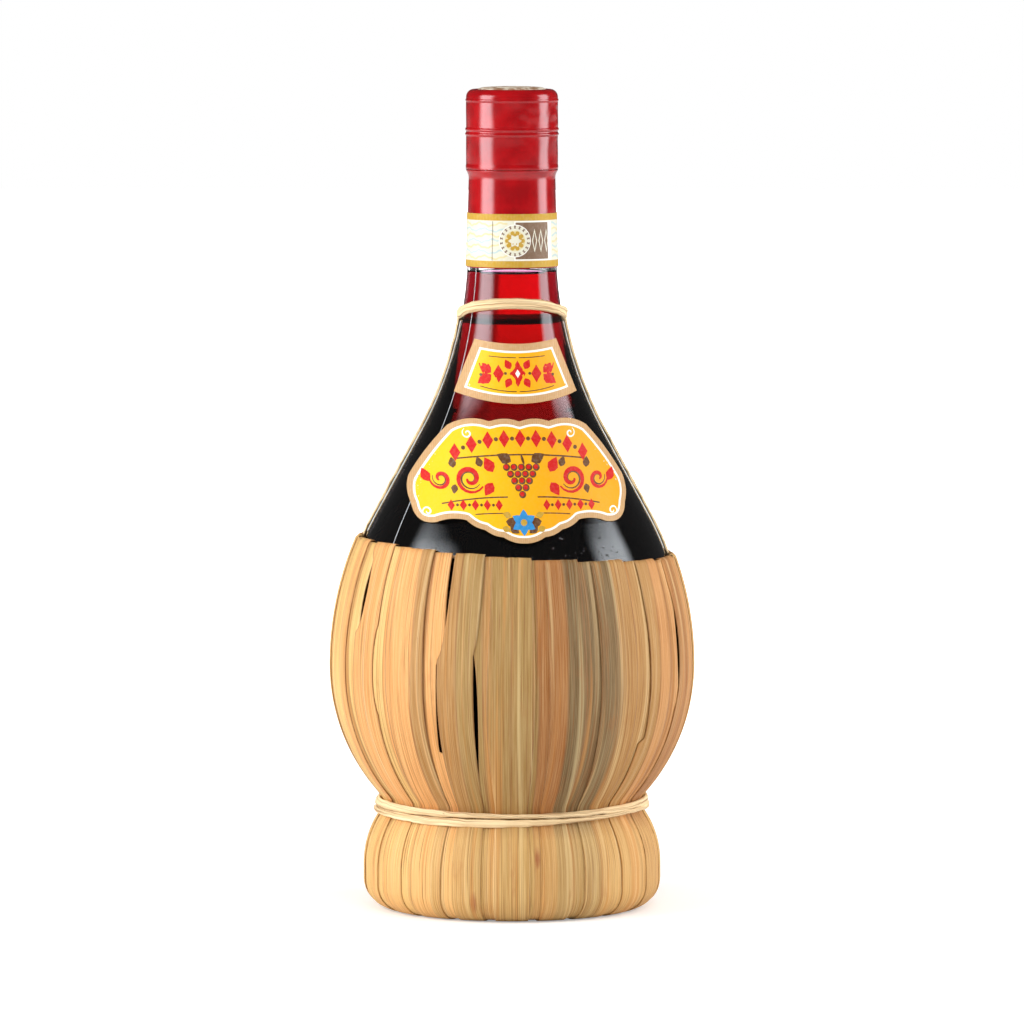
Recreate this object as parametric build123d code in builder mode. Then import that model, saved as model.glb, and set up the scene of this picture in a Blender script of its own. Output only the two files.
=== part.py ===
from build123d import *
import os
from collections import namedtuple
from math import asin, atan2, cos, degrees, hypot, pi, radians, sin, sqrt, tan

# A one litre straw-covered wine flask. Millimetres and degrees, +Z up, origin at the middle of the base.
# Outlines are drawn in the (radius, height) half plane, as bends with straight runs between them.

# Flask
belly_radius = 58.2
belly_height = 87.0
belly_upper_bend = 98.0
belly_lower_bend = 76.0
bottom_turn = 66.0
shoulder_lean = 28.5
neck_bend = 132.0
neck_root_radius = 15.03
neck_lean = 1.6
neck_length = 29.9
glass_wall = 2.7

# Mouth of the flask
ring_proud = 0.75
ring_length = 26.0
mouth_round = 2.0
bore_radius = 9.25
bore_length = 46.0
bore_taper = 5.0

# Wine and cork
fill_depth = 60.5
wine_gap = 0.1
cork_length = 44.0
cork_recess = 1.5
cork_gap = 0.05
cork_chamfer = 0.8

# Capsule, with the skirt that stays on the neck
film = 0.3
capsule_gap = 0.3
film_fit = 0.1
bead_radius = 0.75
bead_proud = 0.3
middle_bead_rise = 13.5
bead_spacing = 1.6
crown_bead_drop = 1.1
hem_height = 1.2
crown_bend = 2.3
disc_thickness = 0.4
disc_fit = 0.05
lip_width = 0.8
tear_gap = 0.1
skirt_flare = 2.8
skirt_length = 33.0

# Papers
paper = 0.2
paper_fit = 0.1
band_drop = 14.7
band_width = 18.0
label_turn = 5.0
year_drop = 56.7
year_height = 17.8
year_top_width = 27.6
year_bottom_width = 41.6
year_top_dip = 1.5
year_bottom_bulge = 3.5
year_corner = 0.8
main_drop = 82.9
main_height = 40.2
main_width = 74.0

# Neck tie and shoulder strands
tie_radius = 1.0
tie_gap = 0.15
tie_front_drop = 44.7
tie_back_drop = 53.4
strand_width = 2.4
strand_thickness = 0.45
strand_gap = 0.1
strand_azimuth = 94.0
strand_overlap = 1.0
strand_tail = 2.0

# Straw jacket
jacket_room = 3.85
jacket_drop = 4.0
jacket_upper_bend = 109.0
waist_draw = 17.75
waist_height = 35.6
groove_bend = 6.0
foot_flare = 6.2
foot_height = 15.0
foot_edge = 9.7
underside_width = 10.8
straw = 0.7
layer_gap = 0.15
blade_pairs = 20
outer_blade_angle = 12.4
outer_blade_spread_share = 0.12
inner_blade_angle = 12.0

# Rim hoop under the rolled ends of the outer blades
rim_reach = 39.3
rim_rise = 3.3
hook_bend = 1.7
hook_turn = 100.0
hoop_radius = 0.5
hoop_gap = 0.6

# Waist binding
binding_radius = 0.8
binding_turns = 2
binding_pitch = 2.15
binding_gap = 0.15

# Base ring
base_ring_radius = 12.0
base_ring_gap = 0.3

# Length of every cut that runs past the part, and the distance at which two places are one
reach = 200.0
touch = 0.001

os.makedirs("parts", exist_ok=True)

Bend = namedtuple("Bend", "centre radius start end")


def finish(piece, name):
    piece.part.label = name
    export_step(piece.part, f"parts/{name}.step")


def spot(bend, inset, angle):
    """Place on a bend at an angle of its outward normal. A hollow bend has a negative radius."""
    arm = bend.radius - inset
    return (bend.centre[0] + arm * cos(radians(angle)), bend.centre[1] + arm * sin(radians(angle)))


def angle_at(bend, inset, height):
    return degrees(asin((height - bend.centre[1]) / (bend.radius - inset)))


def draw_side(bends, inset):
    """Draws the bends at an inset and gives back the first and last place."""
    places = []
    for bend in bends:
        arm = bend.radius - inset
        begin, end = spot(bend, inset, bend.start), spot(bend, inset, bend.end)
        if places and hypot(begin[0] - places[-1][0], begin[1] - places[-1][1]) > touch:
            Line(places[-1], begin)
        CenterArc(bend.centre, abs(arm), bend.start + (0 if arm > 0 else 180), bend.end - bend.start)
        places += [begin, end]
    return places[0], places[-1]


def draw_skin(bends, outer_inset, inner_inset):
    """Closed outline of a sheet between two insets of the same bends."""
    outer_first, outer_last = draw_side(bends, outer_inset)
    inner_first, inner_last = draw_side(bends, inner_inset)
    Line(outer_first, inner_first)
    Line(outer_last, inner_last)


def half_plane(azimuth):
    """Upright plane through the axis, with its X axis pointing outwards at the azimuth."""
    turn = radians(azimuth)
    return Plane(origin=(0, 0, 0), x_dir=(cos(turn), sin(turn), 0), z_dir=(sin(turn), -cos(turn), 0))


def touching_bend(summit, centre, radius):
    """Radius of the bend that is upright at the summit and touches the circle from the inside."""
    across, up = centre[0] - summit[0], centre[1] - summit[1]
    return (across**2 + up**2 - radius**2) / (2 * (radius - across))


def direction(start, end):
    return degrees(atan2(end[1] - start[1], end[0] - start[0]))


# Outline of the flask, from the bottom up
belly_lower_centre = (belly_radius - belly_lower_bend, belly_height)
belly_upper_centre = (belly_radius - belly_upper_bend, belly_height)
bottom_bend = belly_lower_bend + belly_lower_centre[0] / cos(radians(bottom_turn))
bottom_centre = (0, belly_height + belly_lower_centre[0] * tan(radians(bottom_turn)))
neck_centre_radius = neck_root_radius + neck_bend * cos(radians(neck_lean))
neck_centre_height = belly_height + (
    belly_upper_bend + neck_bend - (neck_centre_radius - belly_upper_centre[0]) * cos(radians(shoulder_lean))
) / sin(radians(shoulder_lean))
neck_centre = (neck_centre_radius, neck_centre_height)
bottom = Bend(bottom_centre, bottom_bend, -90, -bottom_turn)
lower_belly = Bend(belly_lower_centre, belly_lower_bend, -bottom_turn, 0)
upper_belly = Bend(belly_upper_centre, belly_upper_bend, 0, shoulder_lean)
neck = Bend(neck_centre, -neck_bend, shoulder_lean, neck_lean)
flask_bends = [bottom, lower_belly, upper_belly, neck]
shoulder_bends = [upper_belly, neck]
neck_root = spot(neck, 0, neck_lean)


def neck_radius(height, inset=0):
    """Radius of the straight neck above its bend."""
    taper = tan(radians(neck_lean))
    return neck_root[0] - (height - neck_root[1]) * taper - inset / cos(radians(neck_lean))


# Heights of the mouth, on top of the neck
ring_height = neck_root[1] + neck_length
mouth_height = ring_height + ring_length
neck_top_radius = neck_radius(ring_height)
ring_radius = neck_top_radius + ring_proud

# Flask
bore_end_height = mouth_height - bore_length
bore_foot_height = bore_end_height - bore_taper
with BuildPart() as glass_flask:
    with BuildSketch(Plane.XZ):
        with BuildLine():
            outer_first, outer_last = draw_side(flask_bends, 0)
            inner_first, inner_last = draw_side(flask_bends, glass_wall)
            Line(outer_first, inner_first)
            Polyline(
                outer_last,
                (neck_top_radius, ring_height),
                (ring_radius, ring_height),
                (ring_radius, mouth_height - mouth_round),
            )
            RadiusArc(
                (ring_radius, mouth_height - mouth_round), (ring_radius - mouth_round, mouth_height), -mouth_round
            )
            Polyline(
                (ring_radius - mouth_round, mouth_height),
                (bore_radius, mouth_height),
                (bore_radius, bore_end_height),
                (neck_radius(bore_foot_height, glass_wall), bore_foot_height),
                inner_last,
            )
        make_face()
    revolve(axis=Axis.Z)
finish(glass_flask, "glass_flask")

# Wine, up to the fill height in the neck
fill_height = mouth_height - fill_depth
wine_inset = glass_wall + wine_gap
wine_neck = neck._replace(end=angle_at(neck, wine_inset, fill_height))
with BuildPart() as wine:
    with BuildSketch(Plane.XZ):
        with BuildLine():
            wine_first, wine_last = draw_side([bottom, lower_belly, upper_belly, wine_neck], wine_inset)
            Polyline(wine_last, (0, fill_height), wine_first)
        make_face()
    revolve(axis=Axis.Z)
finish(wine, "wine")

# Cork, a running fit in the bore
with BuildPart() as cork:
    with BuildSketch(Plane.XY.offset(mouth_height - cork_recess - cork_length)):
        Circle(bore_radius - cork_gap)
    extrude(amount=cork_length)
    chamfer(cork.edges().filter_by(GeomType.CIRCLE), cork_chamfer)
finish(cork, "cork")

# Capsule top: straight inside, so that it lifts off the ring, with raised beads outside
capsule_inside = ring_radius + capsule_gap
capsule_outside = capsule_inside + film
disc_height = mouth_height + capsule_gap
lip_height = disc_height + disc_thickness + disc_fit
disc_radius = capsule_inside - crown_bend - disc_fit
crown = Bend((capsule_inside - crown_bend, lip_height - crown_bend), crown_bend, 0, 90)
middle_bead_height = ring_height + middle_bead_rise
crown_bead_height = lip_height - crown_bend - crown_bead_drop
bead_heights = [middle_bead_height, middle_bead_height - bead_spacing, crown_bead_height]
with BuildPart() as capsule_top:
    with BuildSketch(Plane.XZ):
        with BuildLine():
            Polyline(
                (capsule_inside, ring_height),
                (capsule_outside + bead_proud, ring_height),
                (capsule_outside + bead_proud, ring_height + hem_height),
                (capsule_outside, ring_height + hem_height + bead_proud),
                (capsule_outside, lip_height - crown_bend),
                (capsule_inside, lip_height - crown_bend),
                close=True,
            )
        make_face()
        with Locations(*[(capsule_outside + bead_proud - bead_radius, height) for height in bead_heights]):
            Circle(bead_radius)
        with Locations((0, ring_height)):
            Rectangle(capsule_inside, reach, align=(Align.MIN, Align.MIN), mode=Mode.SUBTRACT)
        with BuildLine():
            draw_skin([crown], -film, 0)
        make_face()
        with Locations((disc_radius - lip_width, lip_height)):
            Rectangle(lip_width + disc_fit, film, align=(Align.MIN, Align.MIN))
    revolve(axis=Axis.Z)
finish(capsule_top, "capsule_top")

# Disc in the top of the capsule
with BuildPart() as capsule_disc:
    with BuildSketch(Plane.XY.offset(disc_height)):
        Circle(disc_radius)
    extrude(amount=disc_thickness)
finish(capsule_disc, "capsule_disc")

# Capsule skirt, flared to meet the ring
skirt_top_height = ring_height - tear_gap
flare_height = skirt_top_height - skirt_flare
skirt_bottom_height = skirt_top_height - skirt_length
with BuildPart() as capsule_skirt:
    with BuildSketch(Plane.XZ):
        with BuildLine():
            Polyline(
                (neck_radius(skirt_bottom_height, -film_fit), skirt_bottom_height),
                (neck_radius(skirt_bottom_height, -film_fit - film), skirt_bottom_height),
                (neck_radius(flare_height, -film_fit - film), flare_height),
                (capsule_outside, skirt_top_height - film),
                (capsule_outside, skirt_top_height),
                (capsule_inside, skirt_top_height),
                (neck_radius(flare_height, -film_fit), flare_height),
                close=True,
            )
        make_face()
    revolve(axis=Axis.Z)
finish(capsule_skirt, "capsule_skirt")

# Paper band round the neck, over the skirt
band_top_height = ring_height - band_drop
band_bottom_height = band_top_height - band_width
band_inset = -film_fit - film - paper_fit
with BuildPart() as neck_band:
    with BuildSketch(Plane.XZ):
        with BuildLine():
            Polyline(
                (neck_radius(band_bottom_height, band_inset), band_bottom_height),
                (neck_radius(band_bottom_height, band_inset - paper), band_bottom_height),
                (neck_radius(band_top_height, band_inset - paper), band_top_height),
                (neck_radius(band_top_height, band_inset), band_top_height),
                close=True,
            )
        make_face()
    revolve(axis=Axis.Z)
finish(neck_band, "neck_band")


# The labels are cut from a thin sheet all over the shoulder. They face the front, turned a little to the right
label_plane = half_plane(label_turn)

# Year label, a fan with a dipped top and a bulged bottom
year_top_height = ring_height - year_drop
year_bottom_height = year_top_height - year_height
with BuildPart() as year_label:
    with BuildSketch(Plane.XZ):
        with BuildLine():
            draw_skin(shoulder_bends, -paper_fit - paper, -paper_fit)
        make_face()
    revolve(axis=Axis.Z)
    with BuildSketch(label_plane):
        with BuildLine():
            top_right = (year_top_width / 2, year_top_height)
            top_left = (-year_top_width / 2, year_top_height)
            bottom_right = (year_bottom_width / 2, year_bottom_height)
            bottom_left = (-year_bottom_width / 2, year_bottom_height)
            ThreePointArc(top_left, (0, year_top_height - year_top_dip), top_right)
            Line(top_right, bottom_right)
            ThreePointArc(bottom_right, (0, year_bottom_height - year_bottom_bulge), bottom_left)
            Line(bottom_left, top_left)
        make_face()
        fillet(vertices(), year_corner)
    extrude(amount=reach, mode=Mode.INTERSECT)
finish(year_label, "year_label")

# Main label, a scalloped cartouche: places down its right edge, and the bulge of the arc to the next one
main_edge_shares = [
    (0, 0.022, 0.09),
    (0.27, 0.022, 0.12),
    (0.635, 0.065, 0.03),
    (0.978, 0.488, 0.1),
    (0.978, 0.704, 0.27),
    (0.77, 0.843, -0.08),
    (0.51, 0.818, 0.08),
    (0.35, 0.893, 0.08),
    (0.19, 0.95, 0.08),
    (0, 1, 0),
]
main_top_height = ring_height - main_drop
with BuildPart() as main_label:
    with BuildSketch(Plane.XZ):
        with BuildLine():
            draw_skin(shoulder_bends, -paper_fit - paper, -paper_fit)
        make_face()
    revolve(axis=Axis.Z)
    with BuildSketch(label_plane):
        for side in (1, -1):
            with BuildLine():
                for here, there in zip(main_edge_shares, main_edge_shares[1:]):
                    start = (side * here[0] * main_width / 2, main_top_height - here[1] * main_height)
                    end = (side * there[0] * main_width / 2, main_top_height - there[1] * main_height)
                    chord = hypot(end[0] - start[0], end[1] - start[1])
                    SagittaArc(start, end, -side * here[2] * chord)
                Line((0, main_top_height - main_edge_shares[0][1] * main_height), (0, main_top_height - main_height))
            make_face()
    extrude(amount=reach, mode=Mode.INTERSECT)
finish(main_label, "main_label")

# Neck tie, a tilted ring that seats on the neck at its front and back
tie_room = tie_radius + tie_gap


def tie_place(height):
    """Radius at which the tie clears the glass at a height."""
    return spot(neck, -tie_room, angle_at(neck, -tie_room, height))[0]


tie_front_height = ring_height - tie_front_drop
tie_back_height = ring_height - tie_back_drop
tie_front = (-tie_place(tie_front_height), tie_front_height)
tie_back = (tie_place(tie_back_height), tie_back_height)
tie_middle = ((tie_front[0] + tie_back[0]) / 2, (tie_front[1] + tie_back[1]) / 2)
tie_span = hypot(tie_back[0] - tie_front[0], tie_back[1] - tie_front[1])
tie_slope = direction(tie_front, tie_back)
tie_plane = Plane(
    origin=(0, *tie_middle), x_dir=(1, 0, 0), z_dir=(0, -sin(radians(tie_slope)), cos(radians(tie_slope)))
)
with BuildPart() as neck_tie:
    with BuildSketch(Plane(origin=tie_plane.origin, x_dir=tie_plane.x_dir, z_dir=-tie_plane.y_dir)):
        with Locations((tie_span / 2, 0)):
            Circle(tie_radius)
    revolve(axis=Axis(tie_plane.origin, tie_plane.z_dir))
finish(neck_tie, "neck_tie")

# Outline of the jacket, from the foot up to the rim
jacket_radius = belly_radius + jacket_room
jacket_height = belly_height - jacket_drop
rim_height = jacket_height + rim_reach
waist_radius = jacket_radius - waist_draw
foot_radius = waist_radius + foot_flare
underside_radius = foot_radius - foot_edge - underside_width
foot_edge_centre = (foot_radius - foot_edge, foot_edge)
groove_centre = (waist_radius + groove_bend, waist_height)
foot_bend = touching_bend((foot_radius, foot_height), groove_centre, groove_bend)
foot_centre = (foot_radius - foot_bend, foot_height)
jacket_lower_bend = touching_bend((jacket_radius, jacket_height), groove_centre, groove_bend)
jacket_lower_centre = (jacket_radius - jacket_lower_bend, jacket_height)
jacket_upper_centre = (jacket_radius - jacket_upper_bend, jacket_height)
foot_lean = direction(foot_centre, groove_centre)
waist_lean = direction(jacket_lower_centre, groove_centre)
foot_bends = [
    Bend(foot_edge_centre, foot_edge, -90, 0),
    Bend(foot_centre, foot_bend, 0, foot_lean),
    Bend(groove_centre, -groove_bend, foot_lean, waist_lean),
    Bend(jacket_lower_centre, jacket_lower_bend, waist_lean, 0),
]
jacket_top = Bend(jacket_upper_centre, jacket_upper_bend, 0, 90)


def hoop_height(azimuth):
    """The rim stands higher on the left."""
    return rim_height - rim_rise * cos(radians(azimuth))


def hoop_lean(azimuth):
    return angle_at(jacket_top, hook_bend, hoop_height(azimuth))


def draw_blade(outer_inset, inner_inset, top_bends):
    """Closed outline of a blade, from its end under the foot to its top."""
    bends = foot_bends + top_bends
    outer_first, outer_last = draw_side(bends, outer_inset)
    inner_first, inner_last = draw_side(bends, inner_inset)
    Line(outer_last, inner_last)
    Polyline(outer_first, (underside_radius, outer_inset), (underside_radius, inner_inset), inner_first)


# Blades of straw: the outer ones roll over the rim hoop, the inner ones end under it
for pair in range(blade_pairs):
    outer_azimuth = pair * 360 / blade_pairs
    inner_azimuth = outer_azimuth + 180 / blade_pairs

    lean = hoop_lean(outer_azimuth)
    hoop_centre = spot(jacket_top, hook_bend, lean)
    hook = Bend(hoop_centre, hook_bend, lean, lean + hook_turn)
    width = outer_blade_angle * (1 + outer_blade_spread_share * sin(3 * pair))
    with BuildPart() as outer_blade:
        with BuildSketch(half_plane(outer_azimuth - width / 2)):
            with BuildLine():
                draw_blade(0, straw, [jacket_top._replace(end=lean), hook])
            make_face()
        revolve(axis=Axis.Z, revolution_arc=width)
    finish(outer_blade, f"outer_blade_{pair + 1:02d}")

    layer_inset = straw + layer_gap
    top_height = hoop_height(inner_azimuth) - hoop_radius - hoop_gap
    top_lean = angle_at(jacket_top, layer_inset, top_height)
    with BuildPart() as inner_blade:
        with BuildSketch(half_plane(inner_azimuth - inner_blade_angle / 2)):
            with BuildLine():
                draw_blade(layer_inset, layer_inset + straw, [jacket_top._replace(end=top_lean)])
            make_face()
        revolve(axis=Axis.Z, revolution_arc=inner_blade_angle)
    finish(inner_blade, f"inner_blade_{pair + 1:02d}")

# Rim hoop, tilted with the rim
hoop_right = spot(jacket_top, hook_bend, hoop_lean(0))
hoop_left = spot(jacket_top, hook_bend, hoop_lean(180))
hoop_slope = degrees(atan2(hoop_right[1] - hoop_left[1], hoop_right[0] + hoop_left[0]))
hoop_span = hypot(hoop_right[0] + hoop_left[0], hoop_right[1] - hoop_left[1])
hoop_origin = ((hoop_right[0] - hoop_left[0]) / 2, 0, (hoop_right[1] + hoop_left[1]) / 2)
hoop_across = (cos(radians(hoop_slope)), 0, sin(radians(hoop_slope)))
hoop_axis = (-sin(radians(hoop_slope)), 0, cos(radians(hoop_slope)))
with BuildPart() as rim_hoop:
    with BuildSketch(Plane(origin=hoop_origin, x_dir=hoop_across, z_dir=(0, -1, 0))):
        with Locations((hoop_span / 2, 0)):
            Circle(hoop_radius)
    revolve(axis=Axis(hoop_origin, hoop_axis))
finish(rim_hoop, "rim_hoop")

# Shoulder strands, flat on the glass from under the neck tie down to inside the rim hoop
for name, azimuth in (("shoulder_strand_right", strand_azimuth - 90), ("shoulder_strand_left", 270 - strand_azimuth)):
    strand_inset = -strand_gap - strand_thickness
    strand_top = neck._replace(end=angle_at(neck, strand_inset, tie_middle[1] + strand_overlap))
    strand_foot_height = hoop_height(azimuth) - strand_tail
    strand_foot = upper_belly._replace(start=angle_at(upper_belly, -strand_gap, strand_foot_height))
    with BuildPart() as shoulder_strand:
        with BuildSketch(half_plane(azimuth)):
            with BuildLine():
                draw_skin([strand_foot, strand_top], strand_inset, -strand_gap)
            make_face()
        extrude(amount=strand_width / 2, both=True)
    finish(shoulder_strand, name)

# Waist binding, wound twice round the groove: a helix of quarter turns, each of two arcs
groove_room = groove_bend - binding_radius - binding_gap
binding_rise = binding_turns * binding_pitch
binding_coil = groove_centre[0] - sqrt(groove_room**2 - (binding_rise / 2) ** 2)
climb = binding_pitch / (2 * pi)


def on_coil(quarter):
    """Place and direction of the strand after a number of quarter turns from the back."""
    turn = radians(90 + 90 * quarter)
    height = waist_height - binding_rise / 2 + binding_pitch * quarter / 4
    place = Vector(binding_coil * cos(turn), binding_coil * sin(turn), height)
    return place, Vector(-binding_coil * sin(turn), binding_coil * cos(turn), climb).normalized()


def biarc(start, start_way, end, end_way):
    """Two arcs that meet tangent, from one place and direction to another."""
    across, ways = end - start, start_way + end_way
    spread = 2 * (1 - start_way.dot(end_way))
    arm = (sqrt(across.dot(ways) ** 2 + spread * across.dot(across)) - across.dot(ways)) / spread
    first, second = start + start_way * arm, end - end_way * arm
    middle = (first + second) / 2
    TangentArc(start, middle, tangent=start_way)
    TangentArc(middle, end, tangent=second - first)


with BuildPart() as waist_binding:
    with BuildLine() as coil:
        for quarter in range(4 * binding_turns):
            biarc(*on_coil(quarter), *on_coil(quarter + 1))
    coil_start, coil_way = on_coil(0)
    with BuildSketch(Plane(origin=coil_start, z_dir=coil_way)):
        Circle(binding_radius)
    sweep(path=coil.line)
finish(waist_binding, "waist_binding")

samples = 90
coil_places = [on_coil(4 * binding_turns * step / samples)[0] for step in range(samples + 1)]
one_turn = samples // binding_turns
least = min((b - a).length for a, b in zip(coil_places, coil_places[one_turn:]))
print("waist binding: least gap to itself", round(least - 2 * binding_radius, 3), "mm")

# Base ring inside the foot, with the round bottom of the flask seated in it
ring_floor = 2 * straw + layer_gap + base_ring_gap
ring_centre_height = ring_floor + base_ring_radius
ring_reach = belly_lower_bend + base_ring_gap + base_ring_radius
ring_centre_radius = belly_lower_centre[0] + sqrt(ring_reach**2 - (belly_height - ring_centre_height) ** 2)
with BuildPart() as base_ring:
    with BuildSketch(Plane.XZ):
        with Locations((ring_centre_radius, ring_centre_height)):
            Circle(base_ring_radius)
    revolve(axis=Axis.Z)
finish(base_ring, "base_ring")

print("wine volume", round(wine.part.volume / 1000), "ml")
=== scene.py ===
from collections import namedtuple
from math import asin, atan2, ceil, cos, degrees, hypot, pi, radians, sin, sqrt, tan

import bmesh
import bpy
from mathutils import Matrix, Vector, noise
from mathutils.geometry import delaunay_2d_cdt


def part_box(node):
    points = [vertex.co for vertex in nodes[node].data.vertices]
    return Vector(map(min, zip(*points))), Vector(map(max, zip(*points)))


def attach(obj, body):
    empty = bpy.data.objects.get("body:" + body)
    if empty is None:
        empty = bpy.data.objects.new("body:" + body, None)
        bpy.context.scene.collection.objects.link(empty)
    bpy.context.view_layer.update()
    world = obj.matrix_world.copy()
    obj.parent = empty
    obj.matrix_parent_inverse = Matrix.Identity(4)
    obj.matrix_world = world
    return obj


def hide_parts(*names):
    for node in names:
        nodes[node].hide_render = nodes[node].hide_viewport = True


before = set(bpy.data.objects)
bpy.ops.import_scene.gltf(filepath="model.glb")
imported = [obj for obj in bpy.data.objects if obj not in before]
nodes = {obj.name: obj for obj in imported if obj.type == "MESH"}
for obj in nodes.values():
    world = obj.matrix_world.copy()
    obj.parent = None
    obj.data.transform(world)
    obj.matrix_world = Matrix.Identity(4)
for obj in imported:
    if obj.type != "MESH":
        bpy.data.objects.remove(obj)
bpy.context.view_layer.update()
mm = 0.001

# Sizes shared with the solids, in millimetres and degrees
belly_radius, belly_height, belly_upper_bend = 58.2, 87.0, 98.0
belly_lower_bend, bottom_turn = 76.0, 66.0
shoulder_lean, neck_bend, neck_root_radius, neck_lean, neck_length = 28.5, 132.0, 15.03, 1.6, 29.9
glass_wall = 2.7
label_turn = 5.0
year_top_width, year_bottom_width, year_height = 27.6, 41.6, 17.8
year_top_dip, year_bottom_bulge = 1.5, 3.5
main_width, main_height = 74.0, 40.2
film, film_fit, paper, paper_fit = 0.3, 0.1, 0.2, 0.1
jacket_radius, jacket_height, jacket_upper_bend = 62.05, 83.0, 109.0
waist_radius, waist_height, groove_bend = 44.3, 35.6, 6.0
foot_radius, foot_height, foot_edge, underside_radius = 50.5, 15.0, 9.7, 30.0
straw, layer_gap, blade_pairs = 0.7, 0.15, 20
outer_blade_angle, outer_blade_spread, inner_blade_angle = 12.4, 0.12, 12.0
rim_height, rim_rise, hook_bend, hook_turn = 122.3, 3.3, 1.7, 100.0
hoop_radius, hoop_gap = 0.5, 0.6
binding_radius, binding_turns, binding_pitch, binding_gap = 0.8, 2, 2.15, 0.15

Bend = namedtuple("Bend", "centre radius start end")


# Outlines in the (radius, height) half plane, as in the solids: bends with straight runs between them
def spot(bend, inset, angle):
    arm = bend.radius - inset
    return bend.centre[0] + arm * cos(radians(angle)), bend.centre[1] + arm * sin(radians(angle))


def angle_at(bend, inset, height):
    return degrees(asin((height - bend.centre[1]) / (bend.radius - inset)))


def touching_bend(summit, centre, radius):
    across, up = centre[0] - summit[0], centre[1] - summit[1]
    return (across**2 + up**2 - radius**2) / (2 * (radius - across))


def direction(start, end):
    return degrees(atan2(end[1] - start[1], end[0] - start[0]))


def walk(bends, step, inset=0.0):
    """Places along the bends as (radius, height, angle of the outward normal), about a step apart."""
    places = []
    for bend in bends:
        count = max(2, ceil(abs(radians(bend.end - bend.start) * (bend.radius - inset)) / step))
        if places:
            begin = spot(bend, inset, bend.start)
            last = places[-1]
            run = hypot(begin[0] - last[0], begin[1] - last[1])
            for part in range(1, ceil(run / step)):
                share = part * step / run
                places.append((last[0] + (begin[0] - last[0]) * share, last[1] + (begin[1] - last[1]) * share, last[2]))
        for part in range(count + 1):
            angle = bend.start + (bend.end - bend.start) * part / count
            place = (*spot(bend, inset, angle), angle)
            if not places or hypot(place[0] - places[-1][0], place[1] - places[-1][1]) > step / 100:
                places.append(place)
    return places


def around(radius, azimuth, height):
    """A place in metres, from a radius, an azimuth in degrees from +X and a height."""
    turn = radians(azimuth)
    return Vector((radius * cos(turn), radius * sin(turn), height)) * mm


lower_centre = (belly_radius - belly_lower_bend, belly_height)
upper_centre = (belly_radius - belly_upper_bend, belly_height)
bottom_bend = belly_lower_bend + lower_centre[0] / cos(radians(bottom_turn))
bottom_centre = (0, belly_height + lower_centre[0] * tan(radians(bottom_turn)))
neck_centre_radius = neck_root_radius + neck_bend * cos(radians(neck_lean))
neck_centre = (
    neck_centre_radius,
    belly_height
    + (belly_upper_bend + neck_bend - (neck_centre_radius - upper_centre[0]) * cos(radians(shoulder_lean)))
    / sin(radians(shoulder_lean)),
)
bottom = Bend(bottom_centre, bottom_bend, -90, -bottom_turn)
lower_belly = Bend(lower_centre, belly_lower_bend, -bottom_turn, 0)
upper_belly = Bend(upper_centre, belly_upper_bend, 0, shoulder_lean)
neck = Bend(neck_centre, -neck_bend, shoulder_lean, neck_lean)
neck_root = spot(neck, 0, neck_lean)
ring_height = neck_root[1] + neck_length
mouth_height = ring_height + 26.0
fill_height = mouth_height - 60.5


def glass_radius(height, inset=0.0):
    """Radius of the flask at a height above its belly, with an inset."""
    if height > neck_root[1]:
        return neck_root[0] - (height - neck_root[1]) * tan(radians(neck_lean)) - inset / cos(radians(neck_lean))
    join = spot(neck, inset, shoulder_lean)
    if height > join[1]:
        return spot(neck, inset, angle_at(neck, inset, height))[0]
    start = spot(upper_belly, inset, shoulder_lean)
    if height > start[1]:
        share = (height - start[1]) / (join[1] - start[1])
        return start[0] + (join[0] - start[0]) * share
    return spot(upper_belly, inset, angle_at(upper_belly, inset, height))[0]


groove_centre = (waist_radius + groove_bend, waist_height)
foot_bend = touching_bend((foot_radius, foot_height), groove_centre, groove_bend)
foot_centre = (foot_radius - foot_bend, foot_height)
jacket_lower_bend = touching_bend((jacket_radius, jacket_height), groove_centre, groove_bend)
jacket_lower_centre = (jacket_radius - jacket_lower_bend, jacket_height)
foot_bends = [
    Bend((foot_radius - foot_edge, foot_edge), foot_edge, -90, 0),
    Bend(foot_centre, foot_bend, 0, direction(foot_centre, groove_centre)),
    Bend(groove_centre, -groove_bend, direction(foot_centre, groove_centre),
         direction(jacket_lower_centre, groove_centre)),
    Bend(jacket_lower_centre, jacket_lower_bend, direction(jacket_lower_centre, groove_centre), 0),
]
jacket_top = Bend((jacket_radius - jacket_upper_bend, jacket_height), jacket_upper_bend, 0, 90)


def hoop_height(azimuth):
    return rim_height - rim_rise * cos(radians(azimuth))


# Small tools for nodes in materials
def colour(red, green, blue):
    """Linear colour from the usual 0 to 255 values."""
    def linear(value):
        value /= 255
        return value / 12.92 if value <= 0.04045 else ((value + 0.055) / 1.055) ** 2.4
    return (linear(red), linear(green), linear(blue), 1.0)


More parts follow.
